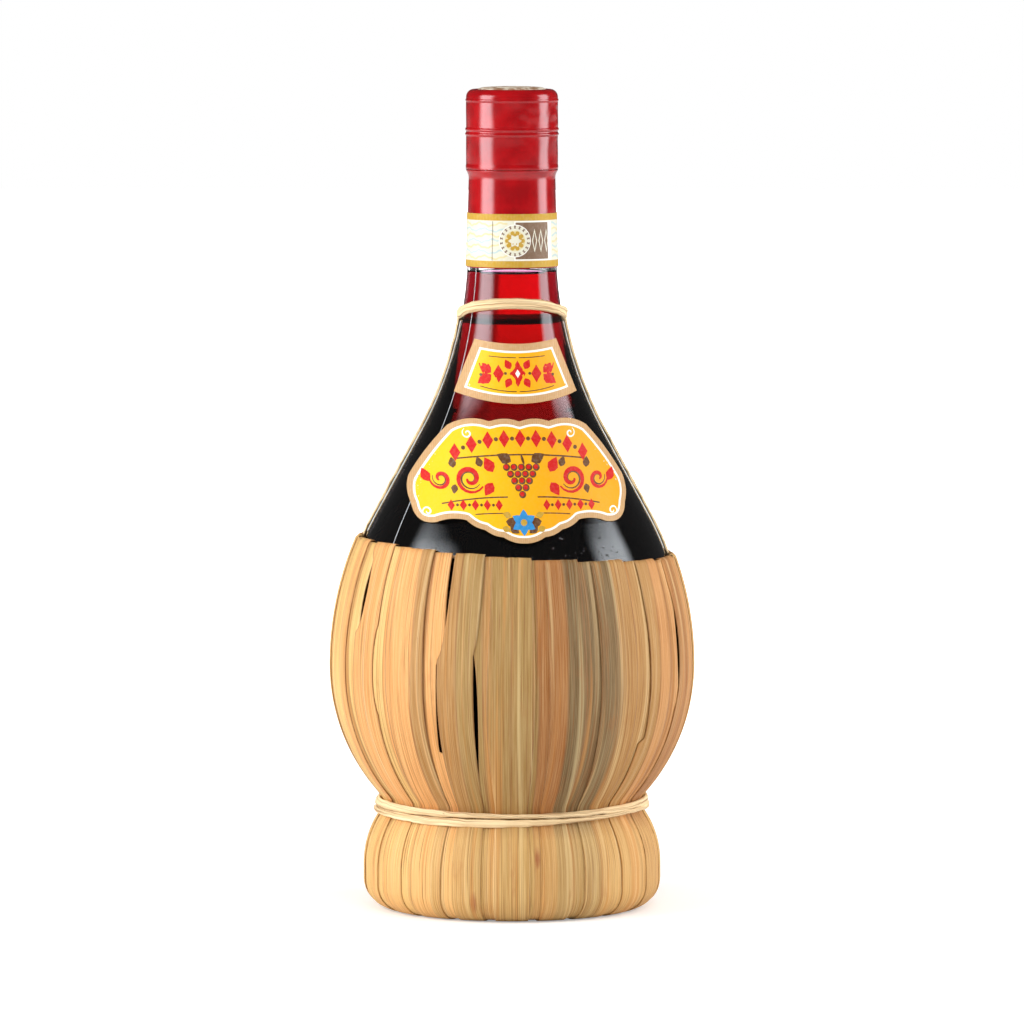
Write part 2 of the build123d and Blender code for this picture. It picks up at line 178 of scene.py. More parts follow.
class Nodes:
    """Adds nodes to a tree and links them, so that a material reads as a list of steps."""

    def __init__(self, tree):
        self.tree = tree

    def add(self, kind, settings=None, **inputs):
        node = self.tree.nodes.new(kind)
        for name, value in (settings or {}).items():
            setattr(node, name, value)
        for name, value in inputs.items():
            self.put(node.inputs[int(name[1:]) if name[0] == "i" and name[1:].isdigit() else name.replace("_", " ")], value)
        return node

    def put(self, socket, value):
        if isinstance(value, bpy.types.NodeSocket):
            self.tree.links.new(value, socket)
        else:
            socket.default_value = value

    def math(self, operation, first, second=0.0, third=0.0):
        return self.add("ShaderNodeMath", {"operation": operation}, i0=first, i1=second, i2=third).outputs[0]

    def mix(self, factor, first, second, blend="MIX"):
        node = self.tree.nodes.new("ShaderNodeMix")
        node.data_type, node.blend_type = "RGBA", blend
        self.put(node.inputs[0], factor)
        self.put(node.inputs[6], first)
        self.put(node.inputs[7], second)
        return node.outputs[2]

    def ramp(self, value, low, high):
        """0 at low, 1 at high, smooth between."""
        return self.add("ShaderNodeMapRange", {"interpolation_type": "SMOOTHSTEP"}, Value=value, From_Min=low,
                        From_Max=high).outputs[0]

    def noise(self, vector, scale, detail=3.0, roughness=0.55):
        return self.add("ShaderNodeTexNoise", None, Vector=vector, Scale=scale, Detail=detail,
                        Roughness=roughness).outputs[0]

    def stretch(self, vector, scale):
        return self.add("ShaderNodeMapping", None, Vector=vector, Scale=scale).outputs[0]

    def bump(self, height, strength, distance):
        return self.add("ShaderNodeBump", None, Strength=strength, Distance=distance, Height=height).outputs[0]

    def place(self):
        return self.add("ShaderNodeTexCoord").outputs["Object"]

    def lay(self):
        """The piece's own lengthwise map: across and along, in units of 10 mm."""
        return self.add("ShaderNodeUVMap", {"uv_map": "lay"}).outputs[0]

    def group(self, tree, **inputs):
        node = self.tree.nodes.new("ShaderNodeGroup")
        node.node_tree = tree
        for name, value in inputs.items():
            self.put(node.inputs[name.replace("_", " ")], value)
        return node.outputs


def material(name, **surface):
    """A material with its Principled surface set, and a tool to add nodes to it."""
    made = bpy.data.materials.new(name)
    made.use_nodes = True
    tree = Nodes(made.node_tree)
    shader = made.node_tree.nodes["Principled BSDF"]
    for key, value in surface.items():
        shader.inputs[key.replace("_", " ")].default_value = value
    return made, tree, shader


def group_tree(name, sockets_in, sockets_out):
    tree = bpy.data.node_groups.new(name, "ShaderNodeTree")
    for socket, kind, value in sockets_in:
        made = tree.interface.new_socket(socket, in_out="INPUT", socket_type=kind)
        if value is not None:
            made.default_value = value
    for socket, kind in sockets_out:
        tree.interface.new_socket(socket, in_out="OUTPUT", socket_type=kind)
    steps = Nodes(tree)
    return tree, steps, tree.nodes.new("NodeGroupInput").outputs, tree.nodes.new("NodeGroupOutput").inputs


def make_fibre_group():
    """Dried plant fibre: fine lengthwise streaks, creases darkened with painted shade, stains and the height of its
    ribs.
    """
    tree, steps, given, out = group_tree(
        "plant fibre",
        [("Lay", "NodeSocketVector", None), ("Tint", "NodeSocketColor", (0.7, 0.5, 0.3, 1)),
         ("Streaks", "NodeSocketFloat", 0.5), ("Stains", "NodeSocketFloat", 0.3), ("Rib width", "NodeSocketFloat", 1.0)],
        [("Colour", "NodeSocketColor"), ("Height", "NodeSocketFloat"), ("Roughness", "NodeSocketFloat")],
    )
    lay = given["Lay"]
    fine = steps.noise(steps.stretch(lay, (34.0, 0.32, 1.0)), 1.0, 4.0, 0.7)
    broad = steps.noise(steps.stretch(lay, (3.2, 0.06, 1.0)), 1.0, 3.0)
    pale = steps.noise(steps.stretch(lay, (4.0, 0.05, 7.0)), 1.0, 2.0)
    patches = steps.noise(steps.stretch(lay, (1.6, 0.35, 1.0)), 1.0, 4.0, 0.6)
    crease = steps.noise(steps.stretch(lay, (15.0, 0.06, 1.0)), 1.0, 2.0, 0.4)
    specks = steps.noise(steps.stretch(lay, (14.0, 3.2, 1.0)), 1.0, 2.0)
    darker = steps.mix(1.0, given["Tint"], colour(196, 168, 128), "MULTIPLY")
    paler = steps.mix(0.42, given["Tint"], colour(255, 232, 180))
    shade = steps.mix(steps.ramp(fine, 0.3, 0.7), darker, paler)
    shade = steps.mix(steps.math("MULTIPLY", given["Streaks"], 0.9), given["Tint"], shade)
    shade = steps.mix(steps.math("MULTIPLY", steps.ramp(broad, 0.52, 0.66), 0.5), shade, colour(206, 140, 72))
    shade = steps.mix(steps.math("MULTIPLY", steps.ramp(pale, 0.54, 0.7), 0.3), shade, colour(248, 222, 164))
    # Painted shade: thin crease lines are darkened in colour, as well as sunk in height
    line = steps.math("SUBTRACT", 1.0, steps.ramp(steps.math("ABSOLUTE", steps.math("SUBTRACT", crease, 0.5)), 0.0, 0.028))
    shade = steps.mix(steps.math("MULTIPLY", line, 0.65), shade, colour(140, 88, 44))
    stain = steps.math("MULTIPLY", steps.ramp(patches, 0.57, 0.78), given["Stains"])
    shade = steps.mix(stain, shade, colour(168, 98, 44))
    speck = steps.math("MULTIPLY", steps.ramp(specks, 0.72, 0.8), 0.35)
    shade = steps.mix(speck, shade, colour(120, 72, 34))
    wave = steps.math("SINE", steps.math("MULTIPLY", steps.add("ShaderNodeSeparateXYZ", None, Vector=lay).outputs[0],
                                         steps.math("DIVIDE", 62.8, given["Rib width"])))
    height = steps.math("ADD", steps.math("MULTIPLY", wave, 0.16), fine)
    height = steps.math("SUBTRACT", height, steps.math("MULTIPLY", line, 0.7))
    steps.put(out["Colour"], shade)
    steps.put(out["Height"], height)
    steps.put(out["Roughness"], steps.add("ShaderNodeMapRange", None, Value=fine, To_Min=0.46, To_Max=0.72).outputs[0])
    return tree


fibre_group = make_fibre_group()


def fibre_material(name, streaks, stains, rib_width, tint=None, depth=0.35):
    made, steps, shader = material(name, Specular_IOR_Level=0.28)
    if tint is None:
        tint = steps.add("ShaderNodeVertexColor", {"layer_name": "tint"}).outputs[0]
    given = steps.group(fibre_group, Lay=steps.lay(), Tint=tint, Streaks=streaks, Stains=stains, Rib_width=rib_width)
    steps.put(shader.inputs["Base Color"], given["Colour"])
    steps.put(shader.inputs["Roughness"], given["Roughness"])
    steps.put(shader.inputs["Normal"], steps.bump(given["Height"], depth, 0.25 * mm))
    return made


straw_material = fibre_material("straw blade", 0.5, 0.45, 1.1, depth=0.28)
raffia_material = fibre_material("raffia", 0.6, 0.12, 0.7, colour(255, 228, 182), 0.6)
ring_material = fibre_material("twisted straw", 0.9, 0.5, 2.0, colour(198, 160, 102), 0.8)


def make_paper_group():
    """Printed paper: faint fibre mottling of a colour and a slight surface grain."""
    tree, steps, given, out = group_tree(
        "printed paper",
        [("Place", "NodeSocketVector", None), ("Ink", "NodeSocketColor", (1, 1, 1, 1)), ("Wear", "NodeSocketFloat", 0.1)],
        [("Colour", "NodeSocketColor"), ("Height", "NodeSocketFloat"), ("Roughness", "NodeSocketFloat")],
    )
    mottle = steps.noise(given["Place"], 900.0, 4.0)
    grain = steps.noise(given["Place"], 5200.0, 2.0)
    paler = steps.mix(0.35, given["Ink"], colour(255, 250, 235))
    shade = steps.mix(steps.math("MULTIPLY", steps.ramp(mottle, 0.35, 0.75), given["Wear"]), given["Ink"], paler)
    steps.put(out["Colour"], shade)
    steps.put(out["Height"], grain)
    steps.put(out["Roughness"], steps.add("ShaderNodeMapRange", None, Value=mottle, To_Min=0.4, To_Max=0.56).outputs[0])
    return tree


paper_group = make_paper_group()


def paper_material(name, ink, wear=0.25, ribs=0.0, second_ink=None):
    """Printed paper. A second ink blends in towards the right, and ribs emboss fine upright lines."""
    made, steps, shader = material(name, Specular_IOR_Level=0.25)
    place = steps.place()
    if second_ink:
        across = steps.add("ShaderNodeSeparateXYZ", None, Vector=place).outputs[0]
        ink = steps.mix(steps.ramp(across, -26 * mm, 22 * mm), ink, second_ink)
    given = steps.group(paper_group, Place=place, Ink=ink, Wear=wear)
    shade, height = given["Colour"], given["Height"]
    if ribs:
        line = steps.math("SINE", steps.math("MULTIPLY", steps.add("ShaderNodeSeparateXYZ", None, Vector=place).outputs[0],
                                             2 * pi / (ribs * mm)))
        shade = steps.mix(steps.math("MULTIPLY", steps.ramp(line, -0.6, 0.9), 0.28), shade, colour(150, 108, 62))
        height = steps.math("ADD", height, line)
    steps.put(shader.inputs["Base Color"], shade)
    steps.put(shader.inputs["Roughness"], given["Roughness"])
    steps.put(shader.inputs["Normal"], steps.bump(height, 0.25, 0.05 * mm))
    return made


inks = {
    "tan": paper_material("tan gold border", colour(204, 160, 108), 0.3, 0.62),
    "white": paper_material("white line", colour(250, 247, 238), 0.1),
    "yellow": paper_material("yellow field", colour(250, 196, 0), 0.05, 0.0, colour(242, 162, 0)),
    "red": paper_material("red print", colour(206, 16, 8), 0.1),
    "brown": paper_material("dark brown print", colour(98, 58, 22), 0.2),
    "blue": paper_material("blue print", colour(44, 140, 204), 0.12),
    "gold": paper_material("ochre gold", colour(198, 156, 42), 0.2, 0.5),
    "cream": paper_material("cream paper", colour(224, 220, 200), 0.3),
    "pale blue": paper_material("pale blue print", colour(188, 206, 204), 0.3),
    "pale gold": paper_material("pale gold print", colour(222, 208, 156), 0.3),
    "panel": paper_material("umber panel", colour(124, 96, 74), 0.15),
}


def make_glass_material():
    made, steps, shader = material(
        "clear glass", Base_Color=(0.97, 0.99, 0.985, 1), Roughness=0.0, IOR=1.5, Transmission_Weight=1.0
    )
    height = steps.noise(steps.stretch(steps.place(), (1.0, 1.0, 0.35)), 26.0, 2.0)
    steps.put(shader.inputs["Normal"], steps.bump(height, 0.25, 0.5 * mm))
    return made


def make_wine_material():
    made, steps, shader = material(
        "red wine", Base_Color=(1.0, 0.9, 0.9, 1), Roughness=0.0, IOR=1.345, Transmission_Weight=1.0
    )
    ripple = steps.noise(steps.place(), 60.0, 1.0)
    steps.put(shader.inputs["Normal"], steps.bump(ripple, 0.04, 0.1 * mm))
    body = steps.add("ShaderNodeVolumeAbsorption", None, Color=(0.967, 0.0, 0.72, 1), Density=900.0)
    made.node_tree.links.new(body.outputs[0], made.node_tree.nodes["Material Output"].inputs["Volume"])
    return made


def make_capsule_material():
    made, steps, shader = material("red capsule film", Coat_Weight=0.15, Coat_Roughness=0.05)
    place = steps.place()
    cloud = steps.noise(place, 120.0, 3.0)
    fine = steps.noise(place, 1500.0, 2.0)
    shade = steps.mix(steps.ramp(cloud, 0.3, 0.7), colour(148, 4, 12), colour(176, 8, 16))
    steps.put(shader.inputs["Base Color"], shade)
    steps.put(shader.inputs["Roughness"], steps.add("ShaderNodeMapRange", None, Value=fine, To_Min=0.11,
                                                    To_Max=0.2).outputs[0])
    folds = steps.noise(steps.stretch(place, (1.0, 1.0, 0.3)), 130.0, 1.0, 0.3)
    height = steps.math("ADD", folds, steps.math("MULTIPLY", fine, 0.02))
    steps.put(shader.inputs["Normal"], steps.bump(height, 0.2, 0.5 * mm))
    return made


def make_mottled_material(name, light, dark, scale, roughness, depth):
    made, steps, shader = material(name, Roughness=roughness)
    place = steps.place()
    cloud = steps.noise(place, scale, 5.0, 0.65)
    steps.put(shader.inputs["Base Color"], steps.mix(steps.ramp(cloud, 0.38, 0.62), light, dark))
    steps.put(shader.inputs["Normal"], steps.bump(cloud, 0.5, depth * mm))
    return made


glass_material = make_glass_material()
wine_material = make_wine_material()
capsule_material = make_capsule_material()
disc_material = make_mottled_material("capsule disc", colour(236, 226, 204), colour(150, 104, 70), 240.0, 0.55, 0.15)
cork_material = make_mottled_material("cork", colour(206, 158, 104), colour(140, 92, 52), 420.0, 0.8, 0.3)
# Painted highlight: the seam ridges are half milky white, standing in for the glint a clear glass seam catches
seam_glint_material = material("glass seam", Base_Color=(0.9, 0.92, 0.95, 1), Roughness=0.25, IOR=1.5,
                         Transmission_Weight=0.5)[0]
droplet_material = material("bubble", Base_Color=(0.9, 0.9, 0.92, 1), Roughness=0.02, IOR=1.33, Transmission_Weight=0.9)[0]


# Meshes
def mesh_object(name, vertices, faces, materials, smooth=True):
    mesh = bpy.data.meshes.new(name)
    mesh.from_pydata([tuple(v) for v in vertices], [], faces)
    for one in materials:
        mesh.materials.append(one)
    if smooth:
        mesh.shade_smooth()
    made = bpy.data.objects.new(name, mesh)
    bpy.context.scene.collection.objects.link(made)
    return made


def lathe(name, outline, segments, surface, waver=None):
    """Turns a closed or open outline of (radius, height) places round the axis, in millimetres."""
    vertices, faces = [], []
    rows = len(outline)
    for turn in range(segments):
        azimuth = 360 * turn / segments
        for radius, height in outline:
            extra = waver(azimuth, height) if waver else 0.0
            vertices.append(around(radius + extra, azimuth, height))
    for turn in range(segments):
        here, there = turn * rows, ((turn + 1) % segments) * rows
        for row in range(rows):
            following = (row + 1) % rows
            faces.append((here + row, there + row, there + following, here + following))
    made = mesh_object(name, vertices, faces, [surface])
    work = bmesh.new()
    work.from_mesh(made.data)
    bmesh.ops.remove_doubles(work, verts=work.verts, dist=0.001 * mm)
    bmesh.ops.recalc_face_normals(work, faces=work.faces)
    work.to_mesh(made.data)
    work.free()
    return made


def stand_for(piece, body, slot, *replaced):
    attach(piece, body)
    if replaced:
        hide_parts(*replaced)
    return piece


def dress(node, surface):
    """Gives a CAD node that stays a better material."""
    mesh = nodes[node].data
    mesh.materials.clear()
    mesh.materials.append(surface)


# Straw blades
# Straw hues; the "edge" colour is painted shade, laid along blade edges and creases
straw_colours = {
    "cream": colour(236, 190, 114), "peach": colour(236, 168, 96), "tan": colour(178, 126, 60),
    "green": colour(168, 130, 66), "olive": colour(106, 76, 32), "amber": colour(166, 100, 34),
    "pink": colour(202, 138, 74), "edge": colour(142, 86, 34),
}
# Each blade is creased lengthwise into two shades, left and right of the crease as seen from outside. The tints are the
# straw's own mixed hues, and the darker olive and amber tints near the end of each list, on the blades to the camera's
# right, are partly painted shade for that side
outer_tints = [("cream", "tan"), ("tan", "peach"), ("green", "tan"), ("peach", "cream"), ("tan", "olive"),
               ("cream", "green"), ("olive", "tan"), ("tan", "peach"), ("peach", "cream"), ("green", "tan"),
               ("tan", "cream"), ("cream", "peach"), ("peach", "peach"), ("peach", "tan"), ("tan", "green"),
               ("green", "green"), ("amber", "olive"), ("olive", "tan"), ("tan", "pink"), ("amber", "pink")]
inner_tints = [("tan", "green"), ("peach", "tan"), ("cream", "tan"), ("green", "olive"), ("amber", "tan"),
               ("tan", "cream"), ("cream", "peach"), ("green", "tan"), ("tan", "amber"), ("peach", "cream"),
               ("cream", "tan"), ("tan", "cream"), ("cream", "peach"), ("amber", "peach"), ("green", "tan"),
               ("green", "amber"), ("olive", "olive"), ("tan", "tan"), ("amber", "pink"), ("tan", "pink")]
blade_columns = 26
blade_step = 1.7
straw_shown, layer_step = 0.3, 0.42
# Small brown stains on the foot: azimuth, height and size
stains = [(255.0, 7.0, 2.6), (280.0, 22.0, 2.2)]

# Where the straw has parted: the side that draws back, the heights between, the angle, and its shape
partings = {
    ("inner", 13): [(1, 58, 96, 4.5, "cut"), (1, 94, 152, 0.6, "even")],
    ("inner", 11): [(1, 97, 121, 1.2, "even")],
    ("inner", 18): [(1, 70, 112, 3.8, "even")],
    ("outer", 19): [(-1, 70, 112, 1.5, "even")],
    ("inner", 14): [(-1, 41, 100, 4.3, "even")],
    ("outer", 14): [(-1, 90, 154, 3.3, "even"), (1, 92, 146, -2.0, "even")],
    ("outer", 12): [(1, 70, 100, 1.6, "even"), (-1, 97, 123, 3.2, "even")],
    ("outer", 18): [(-1, 60, 110, 2.6, "growing")],
}


def draw_back(layer, number, side, height):
    """How far, in degrees, one side of a blade has drawn back at a height."""
    total = 0.0
    for way, low, high, draw, shape in partings.get((layer, number), []):
        if way * side > 0 and low < height < high:
            share = (high - height) / (high - low)
            total += draw * {"growing": share**1.3, "cut": min(1.0, 5 * share) * (0.68 + 0.32 * share),
                             "even": (4 * share * (1 - share)) ** 0.6}[shape]
    return total


def ridges(across, along, seed):
    """Height of a blade's lengthwise ribs and creases, in millimetres."""
    coarse = noise.noise(Vector((across * 0.42, along * 0.006, seed)))
    fine = noise.noise(Vector((across * 1.5, along * 0.012, seed + 31.7)))
    return 0.17 * coarse + 0.1 * fine


def make_blade(name, layer, number, azimuth, width, bends, inset, tint):
    seed = number * 7.31 + (3.7 if layer == "inner" else 0.0)
    path = [(underside_radius + step * blade_step, 0.0, -90.0)
            for step in range(int((foot_radius - foot_edge - underside_radius) / blade_step))]
    path = [(radius, height + inset, angle) for radius, height, angle in path] + walk(bends, blade_step, inset)
    vertices, faces, lays, shades = [], [], [], []
    crease = 0.75 * noise.noise(Vector((seed * 1.3, 2.0, 8.0)))
    left, right, painted_shadow_tint, bounce_light_tint = (Vector(straw_colours[key][:3]) for key in (*tint, "edge", "cream"))
    stain_shade = Vector(colour(160, 78, 24)[:3])
    along = 0.0
    for row, (radius, height, angle) in enumerate(path):
        if row:
            along += hypot(radius - path[row - 1][0], height - path[row - 1][1])
        drift = 1.1 * noise.noise(Vector((along * 0.011, seed, 5.0)))
        fold = crease + 0.2 * noise.noise(Vector((along * 0.02, seed, 3.0)))
        for column in range(blade_columns):
            share = 2 * column / (blade_columns - 1) - 1
            side = 1 if share > 0 else -1
            half = width / 2 * (1 + 0.09 * noise.noise(Vector((along * 0.025, seed + 5 * side, 11.0))))
            half -= draw_back(layer, number, side, height)
            turn = azimuth + drift + share * half
            flat = min(1.0, height / 4) if angle < -45 else 1.0
            across = share * radians(half) * radius
            past = min(1.0, max(0.0, (share - fold) * 9 + 0.5))
            lift = ridges(across + seed * 40, along, seed) + 0.14 * (past - 0.5) - 0.1 * share
            lift -= 0.07 * abs(share) ** 12
            lift *= flat
            vertices.append(around(radius + lift * cos(radians(angle)), turn, height + lift * sin(radians(angle))))
            lays.append(((across + seed * 12) / 10, (along + seed * 50) / 10))
            # Painted shade: each blade darkens towards its edges and along a thin line at its crease, as shadow between
            # overlapping blades and in the fold
            shade = left.lerp(right, past).lerp(painted_shadow_tint, 0.75 * abs(share) ** 14)
            shade = shade.lerp(painted_shadow_tint, 0.8 * max(0.0, 1 - abs(share - fold) * 14))
            # Painted light: blades turn paler towards the foot, standing in for light bounced up from the floor
            shade = shade.lerp(bounce_light_tint, 0.55 * min(1.0, max(0.0, (waist_height - height) / 8)))
            for stain_turn, stain_height, size in stains:
                away = hypot(radians(turn - stain_turn) * radius * 1.8, (height - stain_height) * 0.6)
                shade = shade.lerp(stain_shade, min(0.85, 1.6 * max(0.0, 1 - away / size)))
            shades.append((*shade, 1.0))
    for row in range(len(path) - 1):
        for column in range(blade_columns - 1):
            first = row * blade_columns + column
            faces.append((first, first + 1, first + blade_columns + 1, first + blade_columns))
    made = mesh_object(name, vertices, faces, [straw_material])
    layer_map = made.data.uv_layers.new(name="lay")
    tints = made.data.color_attributes.new("tint", "FLOAT_COLOR", "POINT")
    for loop in made.data.loops:
        layer_map.data[loop.index].uv = lays[loop.vertex_index]
    for index, shade in enumerate(shades):
        tints.data[index].color = shade
    wall = made.modifiers.new("wall", "SOLIDIFY")
    wall.thickness, wall.offset = straw_shown * mm, -1.0
    return made


def make_blades():
    for number in range(blade_pairs):
        outer_azimuth = number * 360 / blade_pairs
        inner_azimuth = outer_azimuth + 180 / blade_pairs
        rise = 0.35 * noise.noise(Vector((number * 2.3, 6.0, 1.0)))
        lean = angle_at(jacket_top, hook_bend, hoop_height(outer_azimuth) + rise)
        hook = Bend(spot(jacket_top, hook_bend, lean), hook_bend, lean, lean + hook_turn)
        width = outer_blade_angle * (1.06 + outer_blade_spread * sin(3 * number))
        name = f"outer_blade_{number + 1:02d}"
        blade = make_blade(f"{name}_straw", "outer", number, outer_azimuth, width,
                           foot_bends + [jacket_top._replace(end=lean), hook], 0.0, outer_tints[number])
        stand_for(blade, "flask", "straw_outer", name)

        top_height = hoop_height(inner_azimuth) + hook_bend - 0.5 + rise
        top = jacket_top._replace(end=angle_at(jacket_top, layer_step, top_height))
        name = f"inner_blade_{number + 1:02d}"
        blade = make_blade(f"{name}_straw", "inner", number, inner_azimuth, inner_blade_angle,
                           foot_bends + [top], layer_step, inner_tints[number])
        stand_for(blade, "flask", "straw_inner", name)


# Raffia: a flat strand that follows a path, twisted as it goes
def make_raffia_tree():
    tree = bpy.data.node_groups.new("raffia strand", "GeometryNodeTree")
    tree.interface.new_socket("Geometry", in_out="INPUT", socket_type="NodeSocketGeometry")
    for name, value in (("Width", 3 * mm), ("Thickness", 1 * mm), ("Twist", 1.0), ("Turn", 0.0),
                        ("Step", 0.7 * mm)):
        tree.interface.new_socket(name, in_out="INPUT", socket_type="NodeSocketFloat").default_value = value
    tree.interface.new_socket("Fibre", in_out="INPUT", socket_type="NodeSocketMaterial")
    tree.interface.new_socket("Geometry", in_out="OUTPUT", socket_type="NodeSocketGeometry")
    steps = Nodes(tree)
    given = tree.nodes.new("NodeGroupInput").outputs
    path = steps.add("GeometryNodeMeshToCurve", None, Mesh=given["Geometry"]).outputs[0]
    even = steps.add("GeometryNodeResampleCurve", {"mode": "LENGTH"}, Curve=path)
    steps.put(even.inputs["Length"], given["Step"])
    along = steps.add("GeometryNodeSplineParameter").outputs["Length"]
    turns = steps.add("ShaderNodeMath", {"operation": "MULTIPLY"}, i0=along, i1=given["Twist"]).outputs[0]
    uneven = steps.add("ShaderNodeTexNoise", {"noise_dimensions": "1D"}, W=along, Scale=120.0).outputs[0]
    sway = steps.add("ShaderNodeMath", {"operation": "MULTIPLY_ADD"}, i0=uneven, i1=1.3, i2=-0.65).outputs[0]
    tilt = steps.add("ShaderNodeMath", {"operation": "ADD"}, i0=sway, i1=turns).outputs[0]
    tilt = steps.add("ShaderNodeMath", {"operation": "ADD"}, i0=tilt, i1=given["Turn"]).outputs[0]
    tilted = steps.add("GeometryNodeSetCurveTilt", None, Curve=even.outputs[0], Tilt=tilt).outputs[0]
    # The section is a flattened bundle of a few fibres side by side
    ring = steps.add("GeometryNodeCurvePrimitiveCircle", None, Resolution=20, Radius=0.5).outputs[0]
    index = steps.add("GeometryNodeInputIndex").outputs[0]
    lobe = steps.add("ShaderNodeMath", {"operation": "SINE"},
                     i0=steps.add("ShaderNodeMath", {"operation": "MULTIPLY"}, i0=index, i1=2 * pi / 4).outputs[0]).outputs[0]
    swell = steps.add("ShaderNodeMath", {"operation": "MULTIPLY_ADD"}, i0=lobe, i1=0.09, i2=1.0).outputs[0]
    scale = steps.add("ShaderNodeCombineXYZ", None, X=given["Width"], Y=given["Thickness"], Z=1.0).outputs[0]
    sized = steps.add("ShaderNodeVectorMath", {"operation": "SCALE"}, i0=scale, Scale=swell).outputs[0]
    place = steps.add("GeometryNodeInputPosition").outputs[0]
    spread = steps.add("ShaderNodeVectorMath", {"operation": "MULTIPLY"}, i0=place, i1=sized).outputs[0]
    section = steps.add("GeometryNodeSetPosition", None, Geometry=ring, Position=spread).outputs[0]
    across = steps.add("GeometryNodeStoreNamedAttribute", {"data_type": "FLOAT", "domain": "POINT"}, Geometry=section,
                       Name="across", Value=index)
    lengthwise = steps.add("GeometryNodeStoreNamedAttribute", {"data_type": "FLOAT", "domain": "POINT"},
                           Geometry=tilted, Name="along", Value=along)
    solid = steps.add("GeometryNodeCurveToMesh", None, Curve=lengthwise.outputs[0], Profile_Curve=across.outputs[0],
                      Fill_Caps=True).outputs[0]
    smooth = steps.add("GeometryNodeSetShadeSmooth", None, Geometry=solid).outputs[0]
    real = steps.add("GeometryNodeRealizeInstances", None, Geometry=smooth).outputs[0]
    dressed = steps.add("GeometryNodeSetMaterial", None, Geometry=real, Material=given["Fibre"]).outputs[0]
    tree.links.new(dressed, tree.nodes.new("NodeGroupOutput").inputs[0])
    return tree


raffia_tree = make_raffia_tree()


def set_input(modifier, name, value):
    sockets = modifier.node_group.interface.items_tree
    key = next(s.identifier for s in sockets if s.name == name and s.in_out == "INPUT")
    modifier[key] = value


def make_raffia(name, path, width, thickness, twist, turn=0.0, closed=False):
    """A strand along a path in metres. Width and thickness in millimetres, twist in turns a metre, turn in degrees."""
    edges = [(n, n + 1) for n in range(len(path) - 1)] + ([(len(path) - 1, 0)] if closed else [])
    mesh = bpy.data.meshes.new(name)
    mesh.from_pydata([tuple(p) for p in path], edges, [])
    source = bpy.data.objects.new(f"{name}_path", mesh)
    bpy.context.scene.collection.objects.link(source)
    modifier = source.modifiers.new("strand", "NODES")
    modifier.node_group = raffia_tree
    for key, value in (("Width", width * mm), ("Thickness", thickness * mm), ("Twist", twist * 2 * pi),
                       ("Turn", radians(turn)), ("Step", 0.8 * mm), ("Fibre", raffia_material)):
        set_input(modifier, key, value)
    ready = source.evaluated_get(bpy.context.evaluated_depsgraph_get())
    result = bpy.data.meshes.new_from_object(ready)
    bpy.data.objects.remove(source)
    lay = result.uv_layers.new(name="lay")
    across, along = result.attributes["across"].data, result.attributes["along"].data
    for loop in result.loops:
        index = loop.vertex_index
        lay.data[loop.index].uv = (across[index].value * width * 0.05 / 10, along[index].value / mm / 10)
    made = bpy.data.objects.new(name, result)
    bpy.context.scene.collection.objects.link(made)
    return made


def make_waist_binding():
    room = groove_bend - binding_radius - binding_gap
    rise = binding_turns * binding_pitch
    coil = groove_centre[0] - sqrt(room**2 - (rise / 2) ** 2)
    path = []
    count = 150 * binding_turns
    for step in range(count + 1):
        turn = 2 * pi * binding_turns * step / count
        azimuth = 90 + degrees(turn)
        height = waist_height - rise / 2 + binding_pitch * turn / (2 * pi)
        front = max(0.0, -sin(radians(azimuth)))
        sag = 0.75 * front**2 * (1.0 if step > count / 2 else 1.25)
        merge = 0.35 * cos(radians(azimuth)) * (1 if step < count / 2 else -1)
        waver = 0.22 * noise.noise(Vector((turn * 2.2, 3.0, 0.0)))
        path.append(around(coil + 0.12 * waver, azimuth, height - sag + merge + waver))
    stand_for(make_raffia("waist_binding_raffia", path, 2.75, 1.4, 4.0, 90), "flask", "raffia", "waist_binding")


def make_neck_tie():
    ring_top, ring_low = ring_height - 44.7, ring_height - 53.4
    path = []
    count = 96
    for step in range(count):
        azimuth = 360 * step / count
        front = -sin(radians(azimuth))
        height = (ring_top + ring_low) / 2 + front * (ring_top - ring_low) / 2
        height += 0.35 * noise.noise(Vector((cos(radians(azimuth)) * 2, sin(radians(azimuth)) * 2, 1.0)))
        path.append(around(glass_radius(height, -1.05), azimuth, height))
    stand_for(make_raffia("neck_tie_raffia", path, 3.6, 1.5, 0.0, 90, closed=True), "flask", "raffia", "neck_tie")


def make_shoulder_strands():
    for name, azimuth in (("shoulder_strand_right", 4.0), ("shoulder_strand_left", 176.0)):
        top = ring_height - 49.0
        foot = hoop_height(azimuth) - 1.2
        count = 60
        path = []
        for step in range(count + 1):
            height = top + 1.2 + (foot - top) * step / count
            wander = 1.3 * noise.noise(Vector((height * 0.03, azimuth, 2.0)))
            path.append(around(glass_radius(height, -0.75), azimuth + wander, height))
        stand_for(make_raffia(f"{name}_raffia", path, 2.4, 1.1, 0.0), "flask", "raffia", name)


